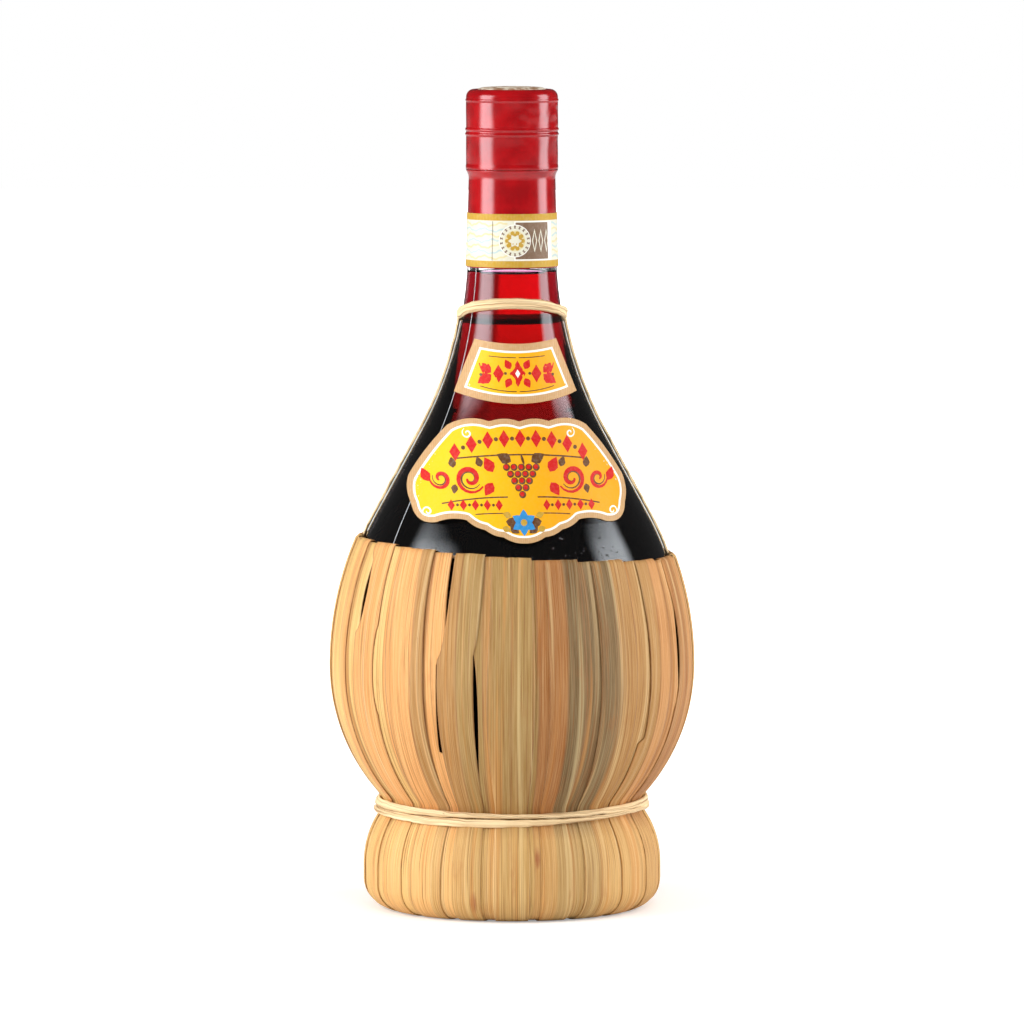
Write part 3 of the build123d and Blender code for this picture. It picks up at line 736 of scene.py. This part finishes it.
# Printing: flat shapes laid on a curved paper, each a little above the last
def laid_shape(work, outline, index, lay, lift, cut, flip=False):
    """Adds one flat outline, cut into fine triangles and laid on the surface."""
    low = [min(place[axis] for place in outline) for axis in (0, 1)]
    high = [max(place[axis] for place in outline) for axis in (0, 1)]
    places = [Vector(place) for place in outline]
    if high[0] - low[0] > cut:
        grid = [(low[0] + cut * (0.53 + column), low[1] + cut * (0.47 + row))
                for column in range(int((high[0] - low[0]) / cut)) for row in range(int((high[1] - low[1]) / cut))]
        places += [Vector(place) for place in grid if nearest(outline, place) > 0.3 * cut]
    spots, _, faces = delaunay_2d_cdt(places, [], [list(range(len(outline)))], 1, 1e-6)[:3]
    corners = [work.verts.new(lay(spot_at.x, spot_at.y, lift)) for spot_at in spots]
    for face in faces:
        made = work.faces.new([corners[n] for n in face])
        made.material_index, made.smooth = index, True
        made.normal_update()
        outwards = made.calc_center_median().xy.dot(made.normal.xy) > 0
        if outwards == flip:
            made.normal_flip()


def print_paper(name, layers, lay, cut=1.0, thickness=0.15):
    """A paper with its printed shapes: layers of (ink, list of outlines). The first layer is the paper itself."""
    used = list(dict.fromkeys(ink for ink, _ in layers))
    work = bmesh.new()
    for outline in layers[0][1]:
        laid_shape(work, outline, 0, lay, 0.0, cut, flip=True)
    for level, (ink, outlines) in enumerate(layers):
        for outline in outlines:
            laid_shape(work, outline, used.index(ink), lay, thickness + 0.012 * level, cut)
    mesh = bpy.data.meshes.new(name)
    work.to_mesh(mesh)
    work.free()
    for ink in used:
        mesh.materials.append(inks[ink])
    made = bpy.data.objects.new(name, mesh)
    bpy.context.scene.collection.objects.link(made)
    return made


def on_shoulder(x, z, lift):
    """Lays a place of the front view on the flask, turned with the labels."""
    radius = glass_radius(z, -paper_fit - lift)
    depth = sqrt(max(radius**2 - x**2, 0.0))
    azimuth = degrees(atan2(-depth, x)) + label_turn
    return around(radius, azimuth, z)


def arc(start, end, bulge, count=10):
    """Places on an arc from start towards end, pushed out by a bulge, a share of the chord."""
    across, up = end[0] - start[0], end[1] - start[1]
    places = []
    for step in range(count):
        share = step / count
        out = 4 * bulge * share * (1 - share)
        places.append((start[0] + across * share + up * out, start[1] + up * share - across * out))
    return places


def scaled(outline, centre, share_x, share_z):
    return [(centre[0] + (x - centre[0]) * share_x, centre[1] + (z - centre[1]) * share_z) for x, z in outline]


def nearest(outline, place):
    """Distance from a place to the nearest side of an outline."""
    best = 1e9
    for here, there in zip(outline, outline[1:] + outline[:1]):
        side = (there[0] - here[0], there[1] - here[1])
        size = side[0] ** 2 + side[1] ** 2 or 1e-9
        share = ((place[0] - here[0]) * side[0] + (place[1] - here[1]) * side[1]) / size
        share = min(1.0, max(0.0, share))
        best = min(best, hypot(here[0] + side[0] * share - place[0], here[1] + side[1] * share - place[1]))
    return best


def inset_outline(outline, distance):
    """Moves an outline inwards, and leaves out the places where the moved outline would cross itself."""
    outline = rounded(outline)
    count = len(outline)
    area = sum(outline[n][0] * outline[(n + 1) % count][1] - outline[(n + 1) % count][0] * outline[n][1]
               for n in range(count))
    side = 1 if area > 0 else -1
    result = []
    for n in range(count):
        before, here, after = outline[n - 1], outline[n], outline[(n + 1) % count]
        first = (here[0] - before[0], here[1] - before[1])
        second = (after[0] - here[0], after[1] - here[1])
        long_1, long_2 = hypot(*first) or 1, hypot(*second) or 1
        normal = (-(first[1] / long_1 + second[1] / long_2), first[0] / long_1 + second[0] / long_2)
        size = hypot(*normal) or 1
        moved = (here[0] + side * normal[0] / size * distance, here[1] + side * normal[1] / size * distance)
        if nearest(outline, moved) > distance - 0.03:
            result.append(moved)
    return result


def circle(x, z, radius, count=16):
    return [(x + radius * cos(2 * pi * n / count), z + radius * sin(2 * pi * n / count)) for n in range(count)]


def lozenge(x, z, width, height):
    return [(x - width / 2, z), (x, z - height / 2), (x + width / 2, z), (x, z + height / 2)]


def stroke(places, width, taper=True):
    """A line of some width through places, thinner at its ends, as a row of four-sided outlines."""
    left, right = [], []
    last = len(places) - 1
    for n, here in enumerate(places):
        before, after = places[max(n - 1, 0)], places[min(n + 1, last)]
        run = hypot(after[0] - before[0], after[1] - before[1]) or 1
        normal = (-(after[1] - before[1]) / run, (after[0] - before[0]) / run)
        half = width / 2 * (0.35 + 0.65 * sin(pi * n / last) if taper else 1.0)
        left.append((here[0] + normal[0] * half, here[1] + normal[1] * half))
        right.append((here[0] - normal[0] * half, here[1] - normal[1] * half))
    return [[left[n], left[n + 1], right[n + 1], right[n]] for n in range(last)]


def scroll(x, z, size, turn, side, width, turns=1.4, count=26):
    """A curling tendril that winds into a spiral."""
    places = []
    for n in range(count):
        share = n / (count - 1)
        angle = radians(turn) + side * 2 * pi * turns * share
        radius = size * (1 - 0.82 * share)
        places.append((x + radius * cos(angle), z + radius * sin(angle)))
    return stroke(places, width)


def leaf(x, z, size, turn):
    """A pointed leaf."""
    places = []
    for share, half in ((0, 0), (0.2, 0.26), (0.45, 0.36), (0.75, 0.2), (1, 0), (0.75, -0.2), (0.45, -0.36), (0.2, -0.26)):
        angle = radians(turn)
        along, off = share * size, half * size
        places.append((x + along * cos(angle) - off * sin(angle), z + along * sin(angle) + off * cos(angle)))
    return places


def mirrored(shapes):
    aside = [shape for shape in shapes if abs(sum(x for x, _ in shape)) > 0.5 * len(shape) * 0.5]
    return shapes + [[(-x, z) for x, z in shape] for shape in aside]


def make_year_label():
    top = ring_height - 56.7
    low = top - year_height
    half_top, half_low = year_top_width / 2, year_bottom_width / 2
    right = (half_low - half_top) / year_height
    edge = []
    steps = 24
    for n in range(steps + 1):
        share = 2 * n / steps - 1
        edge.append((share * half_top, top - year_top_dip * (1 - share**2)))
    for n in range(1, steps):
        share = n / steps
        edge.append((half_top + right * year_height * share, top - year_height * share))
    for n in range(steps + 1):
        share = 1 - 2 * n / steps
        edge.append((share * half_low, low - year_bottom_bulge * (1 - share**2)))
    for n in range(1, steps):
        share = 1 - n / steps
        edge.append((-half_top - right * year_height * share, top - year_height * share))
    middle = (top + low - year_top_dip - year_bottom_bulge) / 2
    field = inset_outline(edge, 3.1)
    red = mirrored([lozenge(0, middle, 5.4, 8.8), lozenge(6.4, middle, 3.6, 6.0), leaf(8.8, middle + 0.3, 5.0, 38),
                    leaf(8.8, middle - 0.3, 5.4, -34), leaf(2.4, middle + 1.5, 3.6, 62), leaf(2.4, middle - 1.5, 3.6, -62)])
    brown = mirrored([circle(4.1, middle + 0.1, 0.5, 10), circle(12.2, middle - 0.4, 0.5, 10)]
                     + stroke([(0.5 + n, middle + 5.3 + 0.006 * n * n) for n in range(10)], 0.3, False)
                     + stroke([(0.5 + n, middle - 5.9 + 0.012 * n * n) for n in range(13)], 0.3, False))
    light = [lozenge(0, middle, 1.7, 2.8)]
    layers = [("tan", [edge]), ("white", [inset_outline(edge, 2.4)]), ("yellow", [field]), ("red", red),
              ("brown", brown), ("white", light)]
    stand_for(print_paper("year_label_paper", layers, on_shoulder), "flask", "label_paper", "year_label")


main_edge_shares = [(0, 0.022, 0.09), (0.27, 0.022, 0.12), (0.635, 0.065, 0.03), (0.978, 0.488, 0.1),
                    (0.978, 0.704, 0.27), (0.77, 0.843, -0.08), (0.51, 0.818, 0.08), (0.35, 0.893, 0.08),
                    (0.19, 0.95, 0.08), (0, 1, 0)]


def make_main_label():
    top = ring_height - 82.9
    half = []
    for here, there in zip(main_edge_shares, main_edge_shares[1:]):
        start = (here[0] * main_width / 2, top - here[1] * main_height)
        end = (there[0] * main_width / 2, top - there[1] * main_height)
        half += arc(start, end, -here[2])
    tip = (0, top - main_height)
    edge = half + [tip] + [(-x, z) for x, z in half[:0:-1]]
    centre = top - 0.47 * main_height
    grapes = []
    for row in range(5):
        for n in range(5 - row):
            grapes.append(circle((n - (4 - row) / 2) * 2.5, centre + 3.2 - row * 2.2, 1.2, 14))
    garland = [(5.4 * n, top - 6.4 - 0.075 * n**3) for n in range(5)]
    red = mirrored(
        [lozenge(x, z, 3.6, 5.8) for x, z in garland]
        + [leaf(9.6, centre + 1.6, 5.4, 62), leaf(9.8, centre - 1.8, 5.0, -58), leaf(30.4, centre - 2.2, 4.6, 66)]
        + scroll(17.2, centre - 0.6, 4.9, 210, 1, 1.5) + scroll(26.6, centre - 1.0, 3.7, 20, -1, 1.2, 1.2)
        + [lozenge(3.9 * n + 8.0, centre - 9.0 - 0.02 * n * n, 2.4, 3.6) for n in range(5)]
    )
    brown = mirrored(
        stroke([(x * 1.3, top - 11.6 - 0.0035 * x * x * 1.69) for x in range(0, 18)], 0.5, False)
        + stroke([(x * 1.2 + 5.0, centre - 6.4 - 0.008 * x * x) for x in range(0, 19)], 0.45, False)
        + stroke([(x * 1.1 + 6.0, centre - 11.6 - 0.006 * x * x) for x in range(0, 10)], 0.35, False)
        + scroll(17.2, centre - 0.6, 3.6, 210, 1, 0.75) + scroll(26.6, centre - 1.0, 2.6, 20, -1, 0.6, 1.2)
        + [leaf(3.4, centre + 5.0, 5.2, 28), leaf(13.4, centre + 3.2, 3.6, 70), leaf(22.4, centre + 2.6, 3.6, 82),
           leaf(22.0, centre - 2.6, 3.2, -80), leaf(6.0, centre - 14.2, 4.4, 190), leaf(4.6, centre - 16.0, 3.6, 214)]
        + [circle(2.7 + 5.4 * n, top - 6.4 - 0.075 * (n + 0.5) ** 3, 0.7, 10) for n in range(4)]
        + [circle(9.9 + 3.9 * n, centre - 9.0 - 0.02 * n * n, 0.5, 8) for n in range(4)]
    ) + stroke([(0.15 * n, centre + 7.4 - 0.55 * n) for n in range(7)], 0.9)
    x, z = 0.0, centre - 14.6
    flowers = [leaf(x, z, 4.3, 60 * n + 30) for n in range(6)] + [circle(x, z, 2.2, 16)]
    gold = [circle(x, z, 1.1, 14)] + mirrored([leaf(4.2, centre - 12.6, 3.0, 20), leaf(7.2, centre - 16.2, 3.0, 200)])
    curls = mirrored(scroll(17.4, top - 4.9, 1.7, 60, -1, 0.55, 1.2) + scroll(31.2, top - 30.6, 1.7, 300, 1, 0.55, 1.2))
    layers = [("tan", [edge]), ("white", [inset_outline(edge, 1.75)]), ("yellow", [inset_outline(edge, 2.45)]),
              ("white", curls),
              ("brown", grapes + brown), ("red", red + scaled_set(grapes, 0.62)), ("blue", flowers), ("gold", gold)]
    stand_for(print_paper("main_label_paper", layers, on_shoulder), "flask", "label_paper", "main_label")


def scaled_set(shapes, share):
    """Smaller copies of shapes about their own centres, shifted a little up, as highlights."""
    result = []
    for shape in shapes:
        centre = (sum(p[0] for p in shape) / len(shape) - 0.15, sum(p[1] for p in shape) / len(shape) + 0.15)
        result.append(scaled([(x - 0.15, z + 0.15) for x, z in shape], centre, share, share))
    return result


def make_neck_band():
    top = ring_height - 14.7
    width, outer = 18.0, film_fit + film + paper_fit
    low = top - width
    girth = 2 * pi * 15.5

    def on_neck(x, z, lift):
        return around(glass_radius(z, -outer - lift), 270 + label_turn * 0 + 360 * x / girth, z)

    def strip(x_1, x_2, z_1, z_2):
        count = max(2, ceil((x_2 - x_1) / 0.7))
        lower = [(x_1 + (x_2 - x_1) * n / count, z_1) for n in range(count + 1)]
        upper = [(x, z_2) for x, _ in lower]
        return lower + upper[::-1]

    half = girth / 2
    middle = (top + low) / 2
    waves, gold_waves = [], []
    for n in range(7):
        z = low + 3.4 + n * 1.85
        line = [(-46.5 + 0.75 * k, z + 0.5 * sin(0.55 * k + 1.3 * n) + 0.2 * sin(1.7 * k)) for k in range(61)]
        (waves if n % 2 else gold_waves).extend(stroke(line, 0.6, False))
        line = [(16.2 + 0.75 * k, z + 0.5 * sin(0.55 * k + 1.3 * n)) for k in range(41)]
        (gold_waves if n % 2 else waves).extend(stroke(line, 0.6, False))
    teeth = [circle(1.0 + 4.7 * cos(n * pi / 9), middle + 4.7 * sin(n * pi / 9), 0.62, 8) for n in range(18)]
    inner_ring = [circle(1.0 + 2.7 * cos(n * pi / 5), middle + 2.7 * sin(n * pi / 5), 0.7, 8) for n in range(10)]
    diamonds = [7.9 + 2.5 * n for n in range(3)]
    layers = [
        ("cream", [strip(-half, half, low, top)]),
        ("gold", [strip(-half, half, low, low + 2.2), strip(-half, half, top - 2.2, top)]),
        ("pale blue", [shape for shape in waves if shape[0][0] > -half and shape[1][0] < half]),
        ("pale gold", [shape for shape in gold_waves if shape[0][0] > -half and shape[1][0] < half]),
        ("white", [strip(0.8, 15.6, low + 2.4, top - 2.4)]),
        ("panel", [strip(1.2, 13.8, low + 2.8, top - 2.8)]),
        ("white", [circle(1.0, middle, 5.5, 32)]),
        ("panel", [circle(1.0, middle, 5.2, 32)]),
        ("cream", teeth + [circle(1.0, middle, 4.2, 28)]),
        ("pale gold", [circle(1.0, middle, 3.5, 24)]),
        ("gold", inner_ring + [circle(1.0, middle, 2.5, 20)]),
        ("cream", [leaf(1.0, middle, 2.3, 60 * n) for n in range(6)] + [lozenge(x, middle, 2.0, 8.0) for x in diamonds]),
        ("panel", [lozenge(x, middle, 1.2, 5.8) for x in diamonds]),
        ("brown", [strip(-6.9, -6.75, low + 2.4, top - 2.4)]),
    ]
    stand_for(print_paper("neck_band_paper", layers, on_neck, 1.2), "flask", "band_paper", "neck_band")


# Capsule: a turned film with the slight folds of its shrinking
def capsule_waver(azimuth, height):
    turn = radians(azimuth)
    folds = noise.noise(Vector((cos(turn) * 1.7, sin(turn) * 1.7, height * 0.16)))
    crumple = noise.noise(Vector((cos(turn) * 4.5, sin(turn) * 4.5, height * 0.35)))
    right = max(0.0, cos(turn + 0.5)) ** 2 * max(0.0, 1 - abs(height - ring_height - 17) / 11)
    return 0.1 * folds + 0.16 * crumple * right


def rounded(outline, step=0.5):
    """Adds places along an outline, so that it can waver."""
    result = []
    for here, there in zip(outline, outline[1:] + outline[:1]):
        count = max(1, ceil(hypot(there[0] - here[0], there[1] - here[1]) / step))
        result += [(here[0] + (there[0] - here[0]) * n / count, here[1] + (there[1] - here[1]) * n / count)
                   for n in range(count)]
    return result


def make_capsule():
    inside = glass_radius(ring_height) + 0.75 + 0.3
    outside = inside + film
    lip = mouth_height + 0.3 + 0.4 + 0.05
    outline = [(inside, ring_height), (outside + 0.1, ring_height + 0.05)]
    height = ring_height + 0.3
    beads = [(ring_height + 0.7, 1.0, 0.12), (ring_height + 13.5, 0.55, 0.34), (ring_height + 11.9, 0.55, 0.34),
             (lip - 2.3 - 1.1, 0.5, 0.2)]
    while height < lip - 2.3:
        proud = sum(rise * max(0.0, 1 - ((height - centre) / spread) ** 2) for centre, spread, rise in beads)
        outline.append((outside + proud, height))
        height += 0.2
    corner = (inside - 2.3, lip - 2.3)
    outline += [(corner[0] + 2.6 * cos(radians(a)), corner[1] + 2.6 * sin(radians(a))) for a in range(0, 91, 10)]
    outline += [(12.1, lip + film), (12.1, lip)]
    outline += [(corner[0] + 2.3 * cos(radians(a)), corner[1] + 2.3 * sin(radians(a))) for a in range(90, -1, -15)]
    piece = lathe("capsule_top_film", outline, 120, capsule_material, capsule_waver)
    stand_for(piece, "capsule", "capsule", "capsule_top")

    top = ring_height - 0.1
    flare, low = top - 2.8, top - 33.0
    skirt = [(glass_radius(low, -0.1), low), (glass_radius(low, -0.4), low), (glass_radius(flare, -0.4), flare),
             (glass_radius(flare, -0.4) + 0.12, flare + 0.9), (outside - 0.35, top - 0.9), (outside, top - 0.3),
             (outside, top), (inside, top), (glass_radius(flare, -0.1), flare)]
    piece = lathe("capsule_skirt_film", rounded(skirt, 0.7), 120, capsule_material, lambda a, h: 0.6 * capsule_waver(a, h)
                  if h > ring_height - 14 else 0.0)
    stand_for(piece, "flask", "capsule", "capsule_skirt")


def make_disc():
    """The paper disc set in the capsule's top, crumpled up a little in its middle."""
    top = mouth_height + 0.3 + 0.4
    outline = [(0.0, top - 0.4), (12.0, top - 0.4), (12.0, top), (11.4, top + 0.5), (10.0, top + 0.95),
               (7.0, top + 1.15), (0.0, top + 1.1)]
    piece = lathe("capsule_disc_paper", rounded(outline, 0.8), 96, disc_material,
                  lambda azimuth, height: 0.5 * noise.noise(around(3000.0, azimuth, 900.0 * height)))
    stand_for(piece, "capsule", "disc", "capsule_disc")


def make_wine():
    """The wine fills the flask right to the glass."""
    inset = glass_wall - 0.05
    surface = neck._replace(end=angle_at(neck, inset, fill_height - 0.6))
    outline = [(radius, height) for radius, height, _ in
               walk([bottom, lower_belly, upper_belly, surface], 2.0, inset)]
    outline += [(outline[-1][0] - 0.05, fill_height + 0.1), (outline[-1][0] - 0.5, fill_height - 0.5),
                (outline[-1][0] - 1.3, fill_height - 0.8), (0.0, fill_height - 0.8)]
    stand_for(lathe("wine_filling", outline, 128, wine_material), "flask", "wine", "wine")


def make_base_ring():
    """A ring of three straw ropes twisted together."""
    low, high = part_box("base_ring")
    middle = (low.z + high.z) / 2 / mm
    section = (high.z - low.z) / 2 / mm
    ring = (high.x - low.x) / 2 / mm - section
    vertices, faces, lays = [], [], []
    rows, columns = 220, 36
    for row in range(rows):
        azimuth = 360 * row / rows
        for column in range(columns):
            angle = 2 * pi * column / columns
            radius = section * (0.95 + 0.05 * cos(3 * (angle + 14 * radians(azimuth))))
            vertices.append(around(ring + radius * cos(angle), azimuth, middle + radius * sin(angle)))
            lays.append((angle * section / 10, radians(azimuth) * ring / 10))
    for row in range(rows):
        for column in range(columns):
            here, there = row * columns, ((row + 1) % rows) * columns
            following = (column + 1) % columns
            faces.append((here + column, there + column, there + following, here + following))
    made = mesh_object("base_ring_rope", vertices, faces, [ring_material])
    layer = made.data.uv_layers.new(name="lay")
    for loop in made.data.loops:
        layer.data[loop.index].uv = lays[loop.vertex_index]
    stand_for(made, "flask", "straw_ring", "base_ring")


def make_mould_seams():
    """The two fine upright ridges where the halves of the mould met, in a pale material that paints the glint along
    them.
    """
    vertices, faces = [], []
    low, high = rim_height - 6, ring_height - 32
    rows = 90
    for azimuth in (217.0, 37.0):
        first = len(vertices)
        for row in range(rows + 1):
            height = low + (high - low) * row / rows
            for side, lift in ((-0.22, 0.0), (0.0, 0.12), (0.22, 0.0)):
                radius = glass_radius(height, 0.02 - lift)
                vertices.append(around(radius, azimuth + degrees(side / radius), height))
        for row in range(rows):
            for column in range(3):
                here, there = first + row * 3, first + row * 3 + 3
                following = (column + 1) % 3
                faces.append((here + column, here + following, there + following, there + column))
        faces += [(first, first + 2, first + 1), (first + rows * 3, first + rows * 3 + 1, first + rows * 3 + 2)]
    stand_for(mesh_object("glass_mould_seams", vertices, faces, [seam_glint_material], smooth=False), "flask", "glass")


def make_droplets():
    """A few small bubbles and drops on the glass above the rim, scattered over the shoulder."""
    tree = bpy.data.node_groups.new("droplets", "GeometryNodeTree")
    tree.interface.new_socket("Geometry", in_out="INPUT", socket_type="NodeSocketGeometry")
    for name, value in (("Smallest", 0.12 * mm), ("Largest", 0.42 * mm)):
        tree.interface.new_socket(name, in_out="INPUT", socket_type="NodeSocketFloat").default_value = value
    tree.interface.new_socket("Geometry", in_out="OUTPUT", socket_type="NodeSocketGeometry")
    steps = Nodes(tree)
    given = tree.nodes.new("NodeGroupInput").outputs
    size = steps.add("FunctionNodeRandomValue", {"data_type": "FLOAT"}, Seed=4)
    steps.put(size.inputs[2], given["Smallest"])
    steps.put(size.inputs[3], given["Largest"])
    ball = steps.add("GeometryNodeMeshUVSphere", None, Segments=10, Rings=7, Radius=1.0).outputs[0]
    points = steps.add("GeometryNodeMeshToPoints", None, Mesh=given["Geometry"]).outputs[0]
    scattered = steps.add("GeometryNodeInstanceOnPoints", None, Points=points, Instance=ball, Scale=size.outputs[1])
    smooth = steps.add("GeometryNodeRealizeInstances", None, Geometry=scattered.outputs[0]).outputs[0]
    dressed = steps.add("GeometryNodeSetMaterial", None, Geometry=smooth, Material=droplet_material).outputs[0]
    tree.links.new(dressed, tree.nodes.new("NodeGroupOutput").inputs[0])
    places = []
    for n in range(30):
        spread = noise.noise(Vector((n * 3.1, 0.5, 0.2)))
        azimuth = 280 + 26 * (n / 30) * 1.4 + 16 * spread
        height = 122.5 + 6.5 * abs(noise.noise(Vector((n * 1.7, 4.0, 9.0)))) * (1 + n % 3)
        places.append(around(glass_radius(height, -0.05), azimuth, height))
    mesh = bpy.data.meshes.new("droplets")
    mesh.from_pydata([tuple(p) for p in places], [], [])
    source = bpy.data.objects.new("droplet_places", mesh)
    bpy.context.scene.collection.objects.link(source)
    source.modifiers.new("drops", "NODES").node_group = tree
    result = bpy.data.meshes.new_from_object(source.evaluated_get(bpy.context.evaluated_depsgraph_get()))
    bpy.data.objects.remove(source)
    result.shade_smooth()
    made = bpy.data.objects.new("glass_droplets", result)
    bpy.context.scene.collection.objects.link(made)
    stand_for(made, "flask", "glass")


def make_softbox_face(name, lamp, width, height, brightness):
    """The bright cloth of a softbox, which shows only as a soft-edged mirror image in glass and film."""
    turn = lamp.rotation_euler.to_matrix()
    corners = [Vector((x * width / 2, y * height / 2, 0)) for x, y in ((-1, -1), (1, -1), (1, 1), (-1, 1))]
    face = mesh_object(f"{name}_face", [lamp.location + turn @ corner for corner in corners], [(0, 1, 2, 3)], [])
    lay = face.data.uv_layers.new(name="lay")
    for loop, place in zip(lay.data, ((0, 0), (1, 0), (1, 1), (0, 1))):
        loop.uv = place
    made, steps, shader = material(f"{name} cloth", Base_Color=(0, 0, 0, 1), Roughness=1.0, Specular_IOR_Level=0.0)
    across = steps.add("ShaderNodeSeparateXYZ", None, Vector=steps.lay())
    soft = 1.0
    for axis in (0, 1):
        edge = steps.math("MINIMUM", across.outputs[axis], steps.math("SUBTRACT", 1.0, across.outputs[axis]))
        soft = steps.math("MULTIPLY", soft, steps.ramp(edge, -0.02, 0.3))
    steps.put(shader.inputs["Emission Strength"], steps.math("MULTIPLY", soft, brightness))
    shader.inputs["Emission Color"].default_value = (0.9, 0.95, 1, 1)
    face.data.materials.append(made)
    face.visible_camera = face.visible_diffuse = face.visible_transmission = face.visible_shadow = False


def behind(steps, way):
    """1 towards the lit backdrop straight behind the bottle, 0 towards the dark sides of the studio."""
    ahead = steps.add("ShaderNodeSeparateXYZ", None, Vector=way)
    left = steps.ramp(ahead.outputs[0], -0.36, -0.28)
    right = steps.math("SUBTRACT", 1.0, steps.ramp(ahead.outputs[0], 0.1, 0.17))
    return steps.math("MULTIPLY", steps.math("MULTIPLY", left, right), steps.ramp(ahead.outputs[1], 0.0, 0.1))


def make_studio():
    floor_size = 6.0
    floor = mesh_object("studio_floor", [(-floor_size, -floor_size, 0), (floor_size, -floor_size, 0),
                                         (floor_size, floor_size, 0), (-floor_size, floor_size, 0)], [(0, 1, 2, 3)], [])
    floor.data.transform(floor.matrix_world)
    made, steps, shader = material("studio floor", Base_Color=(0.86, 0.86, 0.86, 1), Roughness=0.9,
                                   Specular_IOR_Level=0.1)
    rays = steps.add("ShaderNodeLightPath").outputs
    away = steps.add("ShaderNodeVectorMath", {"operation": "NORMALIZE"}, i0=steps.place()).outputs[0]
    through = steps.math("MULTIPLY", rays["Is Transmission Ray"], behind(steps, away))
    seen = steps.math("MAXIMUM", rays["Is Camera Ray"], through)
    distance = steps.add("ShaderNodeVectorMath", {"operation": "LENGTH"}, i0=steps.place()).outputs["Value"]
    glow = steps.math("ADD", 0.32, steps.ramp(distance, 0.15, 1.3))
    steps.put(shader.inputs["Emission Strength"], steps.math("MULTIPLY", seen, glow))
    shader.inputs["Emission Color"].default_value = (1, 1, 1, 1)
    floor.data.materials.append(made)

    world = bpy.data.worlds.new("studio")
    bpy.context.scene.world = world
    world.use_nodes = True
    steps = Nodes(world.node_tree)
    rays = steps.add("ShaderNodeLightPath").outputs
    back = world.node_tree.nodes["Background"]
    back.inputs["Color"].default_value = (1, 1, 1, 1)
    backdrop = behind(steps, steps.add("ShaderNodeTexCoord").outputs["Generated"])
    strength = steps.math("MULTIPLY", rays["Is Diffuse Ray"], 0.6)
    strength = steps.math("MAXIMUM", strength, rays["Is Camera Ray"])
    strength = steps.math("MAXIMUM", strength, steps.math("MULTIPLY", rays["Is Transmission Ray"], backdrop))
    strength = steps.math("MAXIMUM", strength, 0.06)
    steps.put(back.inputs["Strength"], strength)

    # Two tall softboxes: azimuth from the front, distance, width, height, middle height and power
    for name, azimuth, distance, width, height, middle, power in (
        ("left_softbox", -68, 1.25, 1.15, 1.3, 0.45, 19.0), ("right_softbox", 88, 1.25, 0.9, 1.3, 0.45, 14.0),
        ("top_softbox", 10, 1.0, 0.5, 0.5, 1.15, 3.0),
    ):
        light = bpy.data.lights.new(name, "AREA")
        light.shape, light.size, light.size_y, light.energy = "RECTANGLE", width, height, power
        light.color = (0.96, 0.98, 1.0)
        lamp = bpy.data.objects.new(name, light)
        turn = radians(azimuth - 90)
        lamp.location = (distance * cos(turn), distance * sin(turn), middle)
        aim = Vector((0, 0, 0.14)) - lamp.location
        lamp.rotation_euler = aim.to_track_quat("-Z", "Y").to_euler()
        lamp.visible_glossy, lamp.visible_transmission = False, False
        bpy.context.scene.collection.objects.link(lamp)
        if name != "top_softbox":
            make_softbox_face(name, lamp, width, height, brightness=9.0 if name == "left_softbox" else 7.0)

    camera = bpy.data.cameras.new("camera")
    eye = bpy.data.objects.new("camera", camera)
    eye.location = Vector((0.0, -2.6, 0.35))
    aim = Vector((0.0, 0.0, 0.1346))
    eye.rotation_euler = (aim - eye.location).to_track_quat("-Z", "Y").to_euler()
    camera.sensor_width = 36.0
    camera.lens = camera.sensor_width * (aim - eye.location).length / 0.34816
    camera.clip_end = 50.0
    bpy.context.scene.collection.objects.link(eye)
    bpy.context.scene.camera = eye
    bpy.context.scene.view_settings.view_transform = "Standard"


make_studio()
make_blades()
make_waist_binding()
make_neck_tie()
make_shoulder_strands()
make_year_label()
make_main_label()
make_neck_band()
make_capsule()
make_disc()
make_wine()
make_base_ring()
make_mould_seams()
make_droplets()
dress("glass_flask", glass_material)
dress("cork", cork_material)
dress("rim_hoop", raffia_material)
